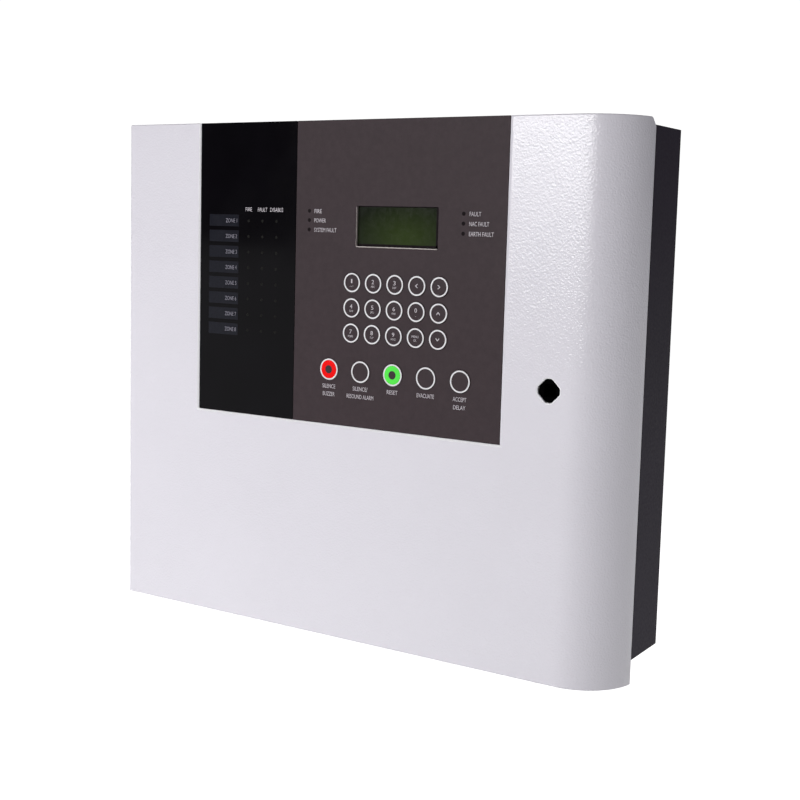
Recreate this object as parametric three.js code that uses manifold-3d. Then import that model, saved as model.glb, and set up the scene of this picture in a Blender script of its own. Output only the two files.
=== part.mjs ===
// Wall-mounted fire alarm control panel with a hinged front door.
// Millimetres. +X to the right of a person facing the panel, +Y into the wall, +Z up.
// The origin is the centre of the back box's rear face, where it lies against the wall.

import * as THREE from 'three';
import { mergeVertices } from 'three/addons/utils/BufferGeometryUtils.js';
import Module from 'manifold-3d';

const wasm = await Module();
wasm.setup();

// ---------------------------------------------------------------- driving dimensions

// Cabinet
const WIDTH = 383;
const BOX_HEIGHT = 320;
const BOX_DEPTH = 40;
const BOX_SHEET = 1.2;
const BOX_LIP = 14; // inward front flange of the box's sides and top
const GAP = 0.3; // between pieces that touch or are fastened together

// Door
const DOOR_DEPTH = 32;
const DOOR_SHEET = 1.5;
const OVERHANG_TOP = 4.5; // door above the box
const OVERHANG_BOTTOM = 15.5; // door below the box
const ROLL_RADIUS = 37; // rolled right-hand side
const FOLD_RADIUS = 1.6; // folded left-hand edge

// Display cut-out, open at the door's top edge
const DISPLAY_LEFT = -125.9;
const DISPLAY_RIGHT = 112.8;
const DISPLAY_BOTTOM = -32.7;
const WINDOW_RIGHT = -43.9; // where the zone window meets the keypad fascia
const FASCIA_RECESS = 0.9;
const NOTCH_FLARE = 1.2; // how far the cut-out's edge slopes outwards down to the fascia
const FASCIA_THICKNESS = 1.8;

// Keypad, all centred on one upright line
const KEYPAD_X = 34.5;
const LCD_VIEW = { width: 61, height: 26.2, z: 96.9 };
const KEY = { pitch: 16.3, topZ: 61, cap: 6.6, flange: 7.5, travel: 0.8 };
const BUTTON = { pitch: 24.66, z: 3.6, cap: 7.3, flange: 8.3, travel: 1 };
const ROUND = 14; // sides of a small round piece

// Zone indicators
const ZONES = 8;
const ZONE = { topZ: 98.9, pitch: 10.58, firstLedX: -83.7, ledPitch: 11.8 };

// Lock
const LOCK = { x: 144.3, z: 3.2, holeReach: 7.3, holeFlat: 3.6, barrel: 7, tongue: 40 };

// Hinges on the left
const HINGE = { length: 60, knuckle: 3.2, pin: 1.6, leaf: 1.5, reach: 25, z: 112 };

// Standby batteries
const BATTERY = { width: 151, depth: 65, height: 94, gap: 4 };

// ---------------------------------------------------------------- derived places

const LEFT = -WIDTH / 2;
const RIGHT = WIDTH / 2;
const BOX_BOTTOM = -BOX_HEIGHT / 2;
const BOX_TOP = BOX_HEIGHT / 2;
const DOOR_BOTTOM = BOX_BOTTOM - OVERHANG_BOTTOM;
const DOOR_TOP = BOX_TOP + OVERHANG_TOP;
const BOX_FRONT = -BOX_DEPTH;
const FRONT = BOX_FRONT - DOOR_DEPTH;
const DOOR_REAR = BOX_FRONT - GAP;
const BOX_BACK = -BOX_SHEET; // inner face of the box's back sheet

const FASCIA_FRONT = FRONT + FASCIA_RECESS;
const FASCIA_REAR = FASCIA_FRONT + FASCIA_THICKNESS;
const FRAME_REAR = -61.6; // rear rim of the display frame
const BOARD_FRONT = FRAME_REAR + GAP; // display board
const BOARD_THICKNESS = 1.6;
const BOARD_REAR = BOARD_FRONT + BOARD_THICKNESS;

const MAIN_BOARD = { left: -160, right: 66, bottom: -40, top: 120, front: -12.9 };
const RIBBON = { x: -112, z: 70, width: 26, thickness: 1, height: 7 };

// ---------------------------------------------------------------- finishes

function finish(color, roughness, metalness = 0) {
  return new THREE.MeshStandardMaterial({ color, roughness, metalness });
}

const FINISH = {
  doorPaint: finish(0xdcdae0, 0.45),
  boxPaint: finish(0x26242a, 0.5),
  zinc: finish(0xb9bcc0, 0.35, 0.9),
  steel: finish(0x8d9094, 0.3, 0.95),
  fascia: finish(0x463c40, 0.55),
  smoked: finish(0x0e0d12, 0.1),
  glass: finish(0x2f3a22, 0.08),
  blackPlastic: finish(0x151517, 0.5),
  whitePlastic: finish(0xd8d8d4, 0.5),
  card: finish(0x3a3f48, 0.8),
  greenBoard: finish(0x1f5a35, 0.45),
  greenPlastic: finish(0x2f8a4b, 0.45),
  greyPlastic: finish(0x4a4c50, 0.55),
  rubber: finish(0x1b1b1c, 0.85),
  brass: finish(0xb58d42, 0.35, 0.9),
  ribbon: finish(0x9a9ca1, 0.6),
  redWire: finish(0xa3221c, 0.5),
};

// ---------------------------------------------------------------- shape helpers

function block(x0, x1, y0, y1, z0, z1) {
  const geometry = new THREE.BoxGeometry(x1 - x0, y1 - y0, z1 - z0);
  return geometry.translate((x0 + x1) / 2, (y0 + y1) / 2, (z0 + z1) / 2);
}

// A round bar along one axis, from one end to the other; a and b are the other two coordinates.
function bar(axis, radius, from, to, a, b, sides = ROUND) {
  const geometry = new THREE.CylinderGeometry(radius, radius, to - from, sides);
  const middle = (from + to) / 2;
  if (axis === 'x') return geometry.rotateZ(Math.PI / 2).translate(middle, a, b);
  if (axis === 'z') return geometry.rotateX(Math.PI / 2).translate(a, b, middle);
  return geometry.translate(a, middle, b);
}

// A shape drawn as seen from above, (x, y), made solid between two heights.
function standing(shape, z0, z1, curveSegments = 12) {
  const options = { depth: z1 - z0, bevelEnabled: false, curveSegments };
  return new THREE.ExtrudeGeometry(shape, options).translate(0, 0, z0);
}

// A shape drawn as seen from the front, (x, z), made solid between two depths.
function facing(shape, y0, y1, curveSegments = 10) {
  const options = { depth: y1 - y0, bevelEnabled: false, curveSegments };
  return new THREE.ExtrudeGeometry(shape, options).rotateX(Math.PI / 2).translate(0, y1, 0);
}

// A shape drawn as seen from the right, (y, z), made solid between two x values.
function sideways(points, x0, x1) {
  const shape = new THREE.Shape(points.map(([y, z]) => new THREE.Vector2(y, z)));
  const turn = new THREE.Matrix4().makeBasis(
    new THREE.Vector3(0, 1, 0),
    new THREE.Vector3(0, 0, 1),
    new THREE.Vector3(1, 0, 0),
  );
  const options = { depth: x1 - x0, bevelEnabled: false };
  return new THREE.ExtrudeGeometry(shape, options).applyMatrix4(turn).translate(x0, 0, 0);
}

function roundedRectangle(x0, x1, z0, z1, radius) {
  const shape = new THREE.Shape();
  shape.moveTo(x0 + radius, z0);
  shape.lineTo(x1 - radius, z0);
  shape.absarc(x1 - radius, z0 + radius, radius, -Math.PI / 2, 0, false);
  shape.lineTo(x1, z1 - radius);
  shape.absarc(x1 - radius, z1 - radius, radius, 0, Math.PI / 2, false);
  shape.lineTo(x0 + radius, z1);
  shape.absarc(x0 + radius, z1 - radius, radius, Math.PI / 2, Math.PI, false);
  shape.lineTo(x0, z0 + radius);
  shape.absarc(x0 + radius, z0 + radius, radius, Math.PI, Math.PI * 1.5, false);
  return shape;
}

function circle(x, z, radius) {
  const path = new THREE.Path();
  path.absarc(x, z, radius, 0, Math.PI * 2, true);
  return path;
}

// A round piece turned about a line along Y; the profile holds [radius, y] pairs from its front to its rear.
function turned(profile, sides = ROUND) {
  const points = profile.map(([radius, y]) => new THREE.Vector2(radius, y));
  return tidy(new THREE.LatheGeometry(points, sides));
}

function solid(geometry) {
  const plain = geometry.clone();
  plain.deleteAttribute('normal');
  plain.deleteAttribute('uv');
  const merged = mergeVertices(plain, 1e-4);
  return new wasm.Manifold(new wasm.Mesh({
    numProp: 3,
    vertProperties: new Float32Array(merged.attributes.position.array),
    triVerts: new Uint32Array(merged.index.array),
  }));
}

function surfaceOf(body) {
  const mesh = body.getMesh();
  const geometry = new THREE.BufferGeometry();
  geometry.setAttribute('position', new THREE.BufferAttribute(mesh.vertProperties, 3));
  geometry.setIndex(new THREE.BufferAttribute(mesh.triVerts, 1));
  geometry.computeVertexNormals();
  return geometry;
}

function tidy(geometry) {
  return surfaceOf(solid(geometry));
}

function join(first, ...others) {
  return surfaceOf(others.reduce((sum, geometry) => sum.add(solid(geometry)), solid(first)));
}

function cut(base, ...tools) {
  return surfaceOf(tools.reduce((rest, tool) => rest.subtract(solid(tool)), solid(base)));
}

function piece(name, geometry, material, group) {
  const mesh = new THREE.Mesh(geometry, material);
  mesh.name = name;
  group.add(mesh);
  return mesh;
}

// ---------------------------------------------------------------- back box

const KNOCKOUT = { radius: 11, slot: 0.7, tab: 0.16, y: -19, xs: [-150, -90, -30, 30, 90, 150] };
const GROMMET_XS = [-90, 90];
const HANGING = { x: 165, topZ: 138, bottomZ: -145, head: 5.5, shank: 3.25, slotHalf: 3.5 };

// A ring-shaped slot that leaves two tabs, so that the disc inside it stays in the sheet.
function knockoutSlots(x) {
  const slots = [0, Math.PI].map((turn) => {
    const from = turn + KNOCKOUT.tab;
    const to = turn + Math.PI - KNOCKOUT.tab;
    const shape = new THREE.Shape();
    shape.absarc(x, KNOCKOUT.y, KNOCKOUT.radius, from, to, false);
    shape.absarc(x, KNOCKOUT.y, KNOCKOUT.radius - KNOCKOUT.slot, to, from, true);
    return standing(shape, BOX_TOP - 2 * BOX_SHEET, BOX_TOP + 1, 7);
  });
  return slots;
}

// A keyhole: a round entry for the screw's head with a narrower slot above it.
function keyhole(x, z) {
  const { head, shank } = HANGING;
  const angle = Math.asin(shank / head);
  const shape = new THREE.Shape();
  shape.absarc(x, z, head, Math.PI / 2 + angle, Math.PI * 2.5 - angle, false);
  shape.absarc(x, z + 2 * head - shank, shank, 0, Math.PI, false);
  return facing(shape, -3 * BOX_SHEET, 1, 8);
}

// A level slot for a lower fixing screw, wide enough to set the panel straight.
function fixingSlot(x, z) {
  const { shank, slotHalf } = HANGING;
  const shape = new THREE.Shape();
  shape.absarc(x + slotHalf, z, shank, -Math.PI / 2, Math.PI / 2, false);
  shape.absarc(x - slotHalf, z, shank, Math.PI / 2, Math.PI * 1.5, false);
  return facing(shape, -3 * BOX_SHEET, 1, 6);
}

function backBox() {
  const inner = BOX_SHEET;
  const outside = block(LEFT, RIGHT, BOX_FRONT, 0, BOX_BOTTOM, BOX_TOP);
  const room = block(
    LEFT + inner, RIGHT - inner, BOX_FRONT + inner, BOX_BACK, BOX_BOTTOM + inner, BOX_TOP - inner,
  );
  const mouth = block(
    LEFT + BOX_LIP, RIGHT - BOX_LIP, BOX_FRONT - 1, BOX_FRONT + 2 * inner,
    BOX_BOTTOM + inner, BOX_TOP - BOX_LIP,
  );
  const unused = KNOCKOUT.xs.filter((x) => !GROMMET_XS.includes(x)).flatMap(knockoutSlots);
  const entries = GROMMET_XS.map((x) => (
    bar('z', KNOCKOUT.radius, BOX_TOP - 2 * inner, BOX_TOP + 1, x, KNOCKOUT.y, 20)
  ));
  const hanging = [-HANGING.x, HANGING.x].flatMap((x) => [
    keyhole(x, HANGING.topZ),
    fixingSlot(x, HANGING.bottomZ),
  ]);
  return cut(outside, room, mouth, ...unused, ...entries, ...hanging);
}

// A rubber grommet: two flanges with a groove that takes the sheet, and a bore for the cable.
function grommet() {
  const groove = KNOCKOUT.radius - GAP;
  const flange = KNOCKOUT.radius + 2.5;
  const profile = [
    [7.5, -4.5], [flange - 0.8, -4.5], [flange, -BOX_SHEET - GAP], [groove, -BOX_SHEET - GAP],
    [groove, GAP], [flange, GAP], [flange - 0.8, 2.3], [7.5, 2.3], [7.5, -4.5],
  ];
  const points = profile.map(([radius, height]) => new THREE.Vector2(radius, height));
  return tidy(new THREE.LatheGeometry(points, 20).rotateX(Math.PI / 2));
}

// ---------------------------------------------------------------- hinges

const HINGE_AXIS = { x: LEFT - GAP - HINGE.knuckle, y: (BOX_FRONT + DOOR_REAR) / 2 };
const HINGE_SCREW_ZS = [-0.33, 0, 0.33].map((share) => share * HINGE.length);

// One leaf, drawn about the hinge's middle. side is +1 for the box's leaf and -1 for the door's.
function hingeLeaf(side, knuckles) {
  const { x: axisX, y: axisY } = HINGE_AXIS;
  const plateX1 = LEFT - GAP;
  const plateX0 = plateX1 - HINGE.leaf;
  const near = axisY + side * (HINGE.knuckle + 0.5);
  const far = axisY + side * HINGE.reach;
  const half = HINGE.length / 2;
  const plate = block(plateX0, plateX1, Math.min(near, far), Math.max(near, far), -half, half);
  const arms = knuckles.map(([z0, z1]) => (
    block(plateX0, plateX1, Math.min(axisY, near + side), Math.max(axisY, near + side), z0, z1)
  ));
  const barrels = knuckles.map(([z0, z1]) => bar('z', HINGE.knuckle, z0, z1, axisX, axisY, 16));
  const bore = bar('z', HINGE.pin + 0.1, -half - 1, half + 1, axisX, axisY, 16);
  const screwY = (near + far) / 2;
  const holes = HINGE_SCREW_ZS.map((z) => bar('x', 2, plateX0 - 1, plateX1 + 1, screwY, z, 8));
  return cut(join(plate, ...arms, ...barrels), bore, ...holes);
}

function hingePin() {
  const half = HINGE.length / 2;
  const { x, y } = HINGE_AXIS;
  const head = bar('z', HINGE.pin + 1, half + GAP, half + 2, x, y, 16);
  const shank = bar('z', HINGE.pin, -half - 1.5, half + 1, x, y, 16);
  return join(shank, head);
}

// ---------------------------------------------------------------- door

const ROLL_X = RIGHT - Math.sqrt(ROLL_RADIUS ** 2 - (ROLL_RADIUS - DOOR_DEPTH) ** 2);
const ROLL_Y = FRONT + ROLL_RADIUS;
const TOP_RELIEF = { depth: 3.8, height: 4.9, width: 12 }; // cut off the top right rear corner

// The door's outline from above, moved inwards by an inset; the rear is where it stops.
function doorPlan(inset, rear) {
  const fold = FOLD_RADIUS - Math.min(inset, FOLD_RADIUS - 0.1);
  const radius = ROLL_RADIUS - inset;
  const rollEnd = Math.asin((DOOR_REAR - ROLL_Y) / radius);
  const left = LEFT + inset;
  const front = FRONT + inset;
  const shape = new THREE.Shape();
  shape.moveTo(left, rear);
  shape.lineTo(left, front + fold);
  shape.absarc(left + fold, front + fold, fold, Math.PI, Math.PI * 1.5, false);
  shape.lineTo(ROLL_X, front);
  shape.absarc(ROLL_X, ROLL_Y, radius, -Math.PI / 2, rollEnd, false);
  shape.lineTo(ROLL_X + radius * Math.cos(rollEnd), rear);
  return shape;
}

// A square hole standing on one corner, with its corners cut off flat.
function lockHole() {
  const reach = LOCK.holeReach;
  const flat = LOCK.holeFlat / 2;
  const shape = new THREE.Shape([
    [reach, -flat], [reach, flat], [flat, reach], [-flat, reach],
    [-reach, flat], [-reach, -flat], [-flat, -reach], [flat, -reach],
  ].map(([x, z]) => new THREE.Vector2(x, z)));
  return facing(shape, -3, 3).translate(LOCK.x, FRONT + DOOR_SHEET / 2, LOCK.z);
}

// The slope round the display cut-out: its left, right and bottom edges lean outwards to the front.
function notchSlope() {
  const front = FRONT - FASCIA_RECESS;
  const flare = 2 * NOTCH_FLARE;
  const geometry = block(
    DISPLAY_LEFT, DISPLAY_RIGHT, front, FASCIA_FRONT, DISPLAY_BOTTOM, DOOR_TOP + 1,
  );
  const corners = geometry.attributes.position;
  for (let i = 0; i < corners.count; i += 1) {
    const atFront = corners.getY(i) < FRONT;
    const atBottom = corners.getZ(i) < DOOR_TOP;
    if (atFront) corners.setX(i, corners.getX(i) + Math.sign(corners.getX(i)) * flare);
    if (atFront && atBottom) corners.setZ(i, corners.getZ(i) - flare);
  }
  return geometry;
}

function doorShell() {
  const pan = standing(doorPlan(0, DOOR_REAR), DOOR_BOTTOM, DOOR_TOP, 20);
  const room = standing(
    doorPlan(DOOR_SHEET, DOOR_REAR + 5), DOOR_BOTTOM + DOOR_SHEET, DOOR_TOP - DOOR_SHEET, 20,
  );
  const displayNotch = block(
    DISPLAY_LEFT, DISPLAY_RIGHT, FRONT - 1, FASCIA_REAR + GAP, DISPLAY_BOTTOM, DOOR_TOP + 1,
  );
  const relief = sideways([
    [DOOR_REAR - TOP_RELIEF.depth, DOOR_TOP],
    [DOOR_REAR, DOOR_TOP - TOP_RELIEF.height],
    [DOOR_REAR + 1, DOOR_TOP - TOP_RELIEF.height],
    [DOOR_REAR + 1, DOOR_TOP + 1],
    [DOOR_REAR - TOP_RELIEF.depth, DOOR_TOP + 1],
  ], RIGHT - TOP_RELIEF.width, RIGHT + 1);
  return cut(pan, room, displayNotch, notchSlope(), relief, lockHole());
}

// ---------------------------------------------------------------- display

const KEY_ROWS = [
  ['1', '2', '3', 'left', 'right'],
  ['4', '5', '6', '0', 'up'],
  ['7', '8', '9', 'menu', 'down'],
];
const KEYS = KEY_ROWS.flatMap((row, r) => row.map((label, c) => ({
  name: `key_${label}`,
  x: KEYPAD_X + (c - (row.length - 1) / 2) * KEY.pitch,
  z: KEY.topZ - r * KEY.pitch,
  size: KEY,
})));
const BUTTON_NAMES = ['silence_buzzer', 'sounders', 'reset', 'evacuate', 'delay'];
const BUTTONS = BUTTON_NAMES.map((label, i) => ({
  name: `button_${label}`,
  x: KEYPAD_X + (i - (BUTTON_NAMES.length - 1) / 2) * BUTTON.pitch,
  z: BUTTON.z,
  size: BUTTON,
}));
const PUSHES = [...KEYS, ...BUTTONS];
const SWITCH = { radius: 2.4, height: 1.6 };

function plate(x0, x1) {
  return roundedRectangle(x0, x1, DISPLAY_BOTTOM + GAP, DOOR_TOP, 0.5);
}

function keypadFascia() {
  const shape = plate(WINDOW_RIGHT + GAP / 2, DISPLAY_RIGHT - GAP);
  const { width, height, z } = LCD_VIEW;
  const view = roundedRectangle(
    KEYPAD_X - width / 2, KEYPAD_X + width / 2, z - height / 2, z + height / 2, 1,
  );
  shape.holes.push(new THREE.Path(view.getPoints(4).reverse()));
  PUSHES.forEach(({ x, z: centre, size }) => shape.holes.push(circle(x, centre, size.cap + GAP)));
  return facing(shape, FASCIA_FRONT, FASCIA_REAR, ROUND / 2);
}

function zoneWindow() {
  return facing(plate(DISPLAY_LEFT + GAP, WINDOW_RIGHT - GAP / 2), FASCIA_FRONT, FASCIA_REAR);
}

// The carrier behind the fascia: a flange behind the door's sheet and a wall that the board closes.
function displayFrame() {
  const rim = 8;
  const wall = 2;
  const inset = 1;
  const left = DISPLAY_LEFT + inset;
  const right = DISPLAY_RIGHT - inset;
  const bottom = DISPLAY_BOTTOM + inset;
  const top = DOOR_TOP - DOOR_SHEET - GAP;
  const flange = block(
    DISPLAY_LEFT - rim, DISPLAY_RIGHT + rim, FASCIA_REAR + GAP, FASCIA_REAR + 1.7,
    DISPLAY_BOTTOM - rim, top,
  );
  const walls = block(left, right, FASCIA_REAR + GAP, FRAME_REAR, bottom, top);
  const room = block(
    left + wall, right - wall, FASCIA_REAR, FRAME_REAR + 1, bottom + wall, top - wall,
  );
  const posts = [left + wall + 2, right - wall - 2].flatMap((x) => (
    [bottom + 12, (bottom + top) / 2, top - 12].map((z) => (
      bar('y', 3, FASCIA_REAR + GAP, FRAME_REAR, x, z, 8)
    ))
  ));
  return join(cut(join(flange, walls), room), ...posts);
}

function displayBoard() {
  const plateShape = roundedRectangle(
    DISPLAY_LEFT + 2, DISPLAY_RIGHT - 2, DISPLAY_BOTTOM + 2, DOOR_TOP - 4, 2,
  );
  const switches = PUSHES.map(({ x, z }) => (
    bar('y', SWITCH.radius, BOARD_FRONT - SWITCH.height, BOARD_FRONT + 0.5, x, z, 6)
  ));
  return join(facing(plateShape, BOARD_FRONT, BOARD_REAR, 3), ...switches);
}

function lcdModule() {
  const { z } = LCD_VIEW;
  const board = block(
    KEYPAD_X - 43.5, KEYPAD_X + 43.5, BOARD_FRONT - 2.1, BOARD_FRONT - 0.5, z - 29, z + 31,
  );
  const bezel = roundedRectangle(KEYPAD_X - 36, KEYPAD_X + 36, z - 20, z + 20, 1.5);
  return join(board, facing(bezel, FASCIA_REAR + 1.7, BOARD_FRONT - 1.5, 3));
}

function lcdWindow() {
  const { width, height, z } = LCD_VIEW;
  const margin = 3;
  const pane = roundedRectangle(
    KEYPAD_X - width / 2 - margin, KEYPAD_X + width / 2 + margin,
    z - height / 2 - margin, z + height / 2 + margin, 1,
  );
  return facing(pane, FASCIA_REAR + GAP, FASCIA_REAR + 1.3, 3);
}

// The block that keeps each zone indicator's light apart: three columns of round wells.
function ledBlock() {
  const ledX = [0, 1, 2].map((column) => ZONE.firstLedX + column * ZONE.ledPitch);
  const bottomZ = ZONE.topZ - (ZONES - 1) * ZONE.pitch;
  const margin = 5.5;
  const shape = roundedRectangle(
    ledX[0] - margin, ledX[2] + margin, bottomZ - margin, ZONE.topZ + margin, 1,
  );
  for (let zone = 0; zone < ZONES; zone += 1) {
    ledX.forEach((x) => shape.holes.push(circle(x, ZONE.topZ - zone * ZONE.pitch, 1.6)));
  }
  return facing(shape, FASCIA_REAR + GAP, BOARD_FRONT - GAP, 3);
}

const CARD = { left: -117.4, right: -90, margin: 7 };

function labelCard() {
  const bottomZ = ZONE.topZ - (ZONES - 1) * ZONE.pitch;
  const { left, right, margin } = CARD;
  const front = FASCIA_REAR + GAP;
  return block(left, right, front, front + 0.6, bottomZ - margin, ZONE.topZ + margin);
}

const BUZZER = { x: -60, z: 130, radius: 7, height: 8.3, mouth: 1.6, mouthDepth: 1.8 };

function buzzer() {
  const { radius, height, mouth, mouthDepth } = BUZZER;
  const y = BOARD_REAR + GAP;
  const chamfer = 0.8;
  return turned([
    [0, y], [radius, y], [radius, y + height - chamfer], [radius - chamfer, y + height],
    [mouth, y + height], [mouth, y + height - mouthDepth], [0, y + height - mouthDepth],
  ], 24);
}

// A cap that shows through the fascia, a flange that keeps it in, and a stem over its switch.
function pushPiece(size) {
  const proud = 0.3;
  const flangeFront = FASCIA_REAR + GAP;
  const stemEnd = BOARD_FRONT - SWITCH.height - size.travel - 0.2;
  return turned([
    [0, FASCIA_FRONT - proud],
    [size.cap - 0.4, FASCIA_FRONT - proud],
    [size.cap, FASCIA_FRONT],
    [size.cap, flangeFront],
    [size.flange, flangeFront],
    [size.flange, flangeFront + 1],
    [SWITCH.radius, flangeFront + 1],
    [SWITCH.radius, stemEnd],
    [0, stemEnd],
  ]);
}

// ---------------------------------------------------------------- lock

const LOCK_BARREL_FRONT = FRONT + DOOR_SHEET + 1;
const LOCK_REAR = BOX_FRONT - 1.5;
const TONGUE_FRONT = BOX_FRONT + BOX_SHEET + 0.6;
const TONGUE_THICKNESS = 2.5;
const SPINDLE = 3.5; // half the width of the square spindle

function lockHousing() {
  const front = FRONT + DOOR_SHEET + GAP;
  const mountPlate = roundedRectangle(-14, 14, -14, 14, 3);
  const flange = facing(mountPlate, front, front + 2, 5);
  const sleeve = bar('y', LOCK.barrel + 3, front, LOCK_REAR, 0, 0, 24);
  const bore = bar('y', LOCK.barrel + GAP, front - 1, LOCK_REAR + 1, 0, 0, 24);
  return cut(join(flange, sleeve), bore);
}

function lockBarrel() {
  const spindleEnd = TONGUE_FRONT + TONGUE_THICKNESS + 1;
  const body = bar('y', LOCK.barrel, LOCK_BARREL_FRONT, LOCK_REAR + 1, 0, 0, 24);
  const spindle = block(-SPINDLE, SPINDLE, LOCK_REAR, spindleEnd, -SPINDLE, SPINDLE);
  const socket = block(-4, 4, LOCK_BARREL_FRONT - 1, LOCK_BARREL_FRONT + 13, -4, 4);
  return cut(join(body, spindle), socket);
}

// The tongue hangs down when the door is free, and turns behind the box's side lip to lock it.
function lockTongue() {
  const half = 8;
  const shape = new THREE.Shape();
  shape.absarc(0, 0, half, 0, Math.PI, false);
  shape.lineTo(-half, -LOCK.tongue + 3);
  shape.absarc(-half + 3, -LOCK.tongue + 3, 3, Math.PI, Math.PI * 1.5, false);
  shape.absarc(half - 3, -LOCK.tongue + 3, 3, -Math.PI / 2, 0, false);
  const hole = SPINDLE + GAP;
  shape.holes.push(new THREE.Path([
    new THREE.Vector2(-hole, -hole), new THREE.Vector2(-hole, hole),
    new THREE.Vector2(hole, hole), new THREE.Vector2(hole, -hole),
  ]));
  return facing(shape, TONGUE_FRONT, TONGUE_FRONT + TONGUE_THICKNESS, 6);
}

// ---------------------------------------------------------------- boards and supply in the box

const PLATE_BACK = BOX_BACK - GAP;
const PLATE_FRONT = PLATE_BACK - 1.5;

function chassisPlate() {
  const { left, right, bottom, top, front } = MAIN_BOARD;
  const margin = 5;
  const sheet = roundedRectangle(left - margin, right + margin, bottom - margin, top + margin, 3);
  const pillarFront = front + BOARD_THICKNESS + GAP;
  const pillars = [left + 6, (left + right) / 2, right - 6].flatMap((x) => (
    [bottom + 6, top - 6].map((z) => bar('y', 3, pillarFront, PLATE_FRONT + 0.5, x, z, 6))
  ));
  return join(facing(sheet, PLATE_FRONT, PLATE_BACK, 3), ...pillars);
}

function mainBoard() {
  const { left, right, bottom, top, front } = MAIN_BOARD;
  return facing(roundedRectangle(left, right, bottom, top, 2), front, front + BOARD_THICKNESS, 3);
}

const FIELD_ROW = { pitch: 5.08, height: 12, depth: 14, z: MAIN_BOARD.top - 14 };
const ZONE_ROW = { ...FIELD_ROW, ways: 24, x: -84 };
const SOUNDER_ROW = { ...FIELD_ROW, ways: 12, x: 22 };
const MAINS_ROW = { ways: 4, pitch: 9.5, height: 18, depth: 17, x: 158, z: 84 };
const FUSE = { x: 108, z: 92 };
const EARTH = { x: 110, z: 120 };

// A row of screw terminals: wire mouths in the top face and screw wells in the front face.
function terminalRow({ ways, pitch, height, depth }) {
  const width = ways * pitch;
  const step = height * 0.35;
  const body = sideways([
    [0, 0], [0, height], [-depth * 0.55, height], [-depth, height - step], [-depth, 0],
  ], -width / 2, width / 2);
  const tools = [];
  for (let way = 0; way < ways; way += 1) {
    const x = (way - (ways - 1) / 2) * pitch;
    const half = pitch * 0.34;
    tools.push(block(x - half, x + half, -depth * 0.5, -depth * 0.15, height - 5, height + 1));
    tools.push(bar('y', pitch * 0.32, -depth - 1, -depth + 3, x, (height - step) / 2, 8));
  }
  return cut(body, ...tools);
}

const SUPPLY = { left: 92, right: 184, bottom: -50, top: 62, front: -33 };
const VENT = { rows: 2, columns: 9, margin: 12, pitchX: 8.4, pitchZ: 50, width: 3, height: 38 };

function powerSupply() {
  const { left, right, bottom, top, front } = SUPPLY;
  const body = block(left, right, front, BOX_BACK - GAP, bottom, top);
  const slots = [];
  for (let row = 0; row < VENT.rows; row += 1) {
    for (let column = 0; column < VENT.columns; column += 1) {
      const x = left + VENT.margin + column * VENT.pitchX;
      const z = bottom + VENT.margin + row * VENT.pitchZ;
      slots.push(block(x, x + VENT.width, front - 1, front + 1.2, z, z + VENT.height));
    }
  }
  return cut(body, ...slots);
}

function fuseHolder() {
  const base = block(-16, 16, -10, 0, -7, 7);
  const tube = bar('x', 3.2, -10.5, 10.5, -12.5, 0, 12);
  const clips = [-9, 9].map((x) => block(x - 2.5, x + 2.5, -14, -9, -3.8, 3.8));
  return join(base, tube, ...clips);
}

function earthStud() {
  const nut = bar('y', 4.6, -6, 0, 0, 0, 6);
  const washer = bar('y', 6, -1.4, 0, 0, 0, 20);
  const thread = bar('y', 2.5, -15, 0, 0, 0, 14);
  return join(washer, nut, thread);
}

// ---------------------------------------------------------------- batteries

const SHELF_TOP = BOX_BOTTOM + BOX_SHEET + GAP + BOX_SHEET;
const BATTERY_Z = SHELF_TOP + GAP;
const BATTERY_FRONT = BOX_BACK - 1.3 - BATTERY.depth;
const BATTERIES_LEFT = LEFT + BOX_LIP + 3.5;
const BATTERY_XS = [0, 1].map((i) => (
  BATTERIES_LEFT + BATTERY.width / 2 + i * (BATTERY.width + BATTERY.gap)
));
const TERMINAL_X = 62; // each terminal from the battery's middle
const TERMINAL_Y = BATTERY_FRONT + 9;

function battery() {
  const half = BATTERY.width / 2;
  const rear = BATTERY_FRONT + BATTERY.depth;
  const lid = 7;
  const caseBody = roundedRectangle(-half, half, 0, BATTERY.height - lid, 1.5);
  const lidBody = roundedRectangle(-half + 1, half - 1, BATTERY.height - lid - 2, BATTERY.height, 1.5);
  const terminals = [-TERMINAL_X, TERMINAL_X].flatMap((x) => [
    block(x - 5, x + 5, TERMINAL_Y - 5, TERMINAL_Y + 5, BATTERY.height - 1, BATTERY.height + 1.5),
    block(x - 3.1, x + 3.1, TERMINAL_Y - 0.4, TERMINAL_Y + 0.4, BATTERY.height, BATTERY.height + 7),
  ]);
  return join(
    facing(caseBody, BATTERY_FRONT, rear, 3), facing(lidBody, BATTERY_FRONT + 1, rear - 1, 3), ...terminals,
  );
}

// The shelf carries the batteries out past the box's front edge, with a small lip to hold them.
function batteryShelf() {
  const x0 = BATTERIES_LEFT - 1;
  const x1 = BATTERY_XS[1] + BATTERY.width / 2 + 1;
  const lipFront = BATTERY_FRONT - GAP - BOX_SHEET;
  const floor = block(x0, x1, lipFront, BOX_BACK - GAP, SHELF_TOP - BOX_SHEET, SHELF_TOP);
  const lip = block(x0, x1, lipFront, lipFront + BOX_SHEET, SHELF_TOP - BOX_SHEET, SHELF_TOP + 8);
  return join(floor, lip);
}

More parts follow.
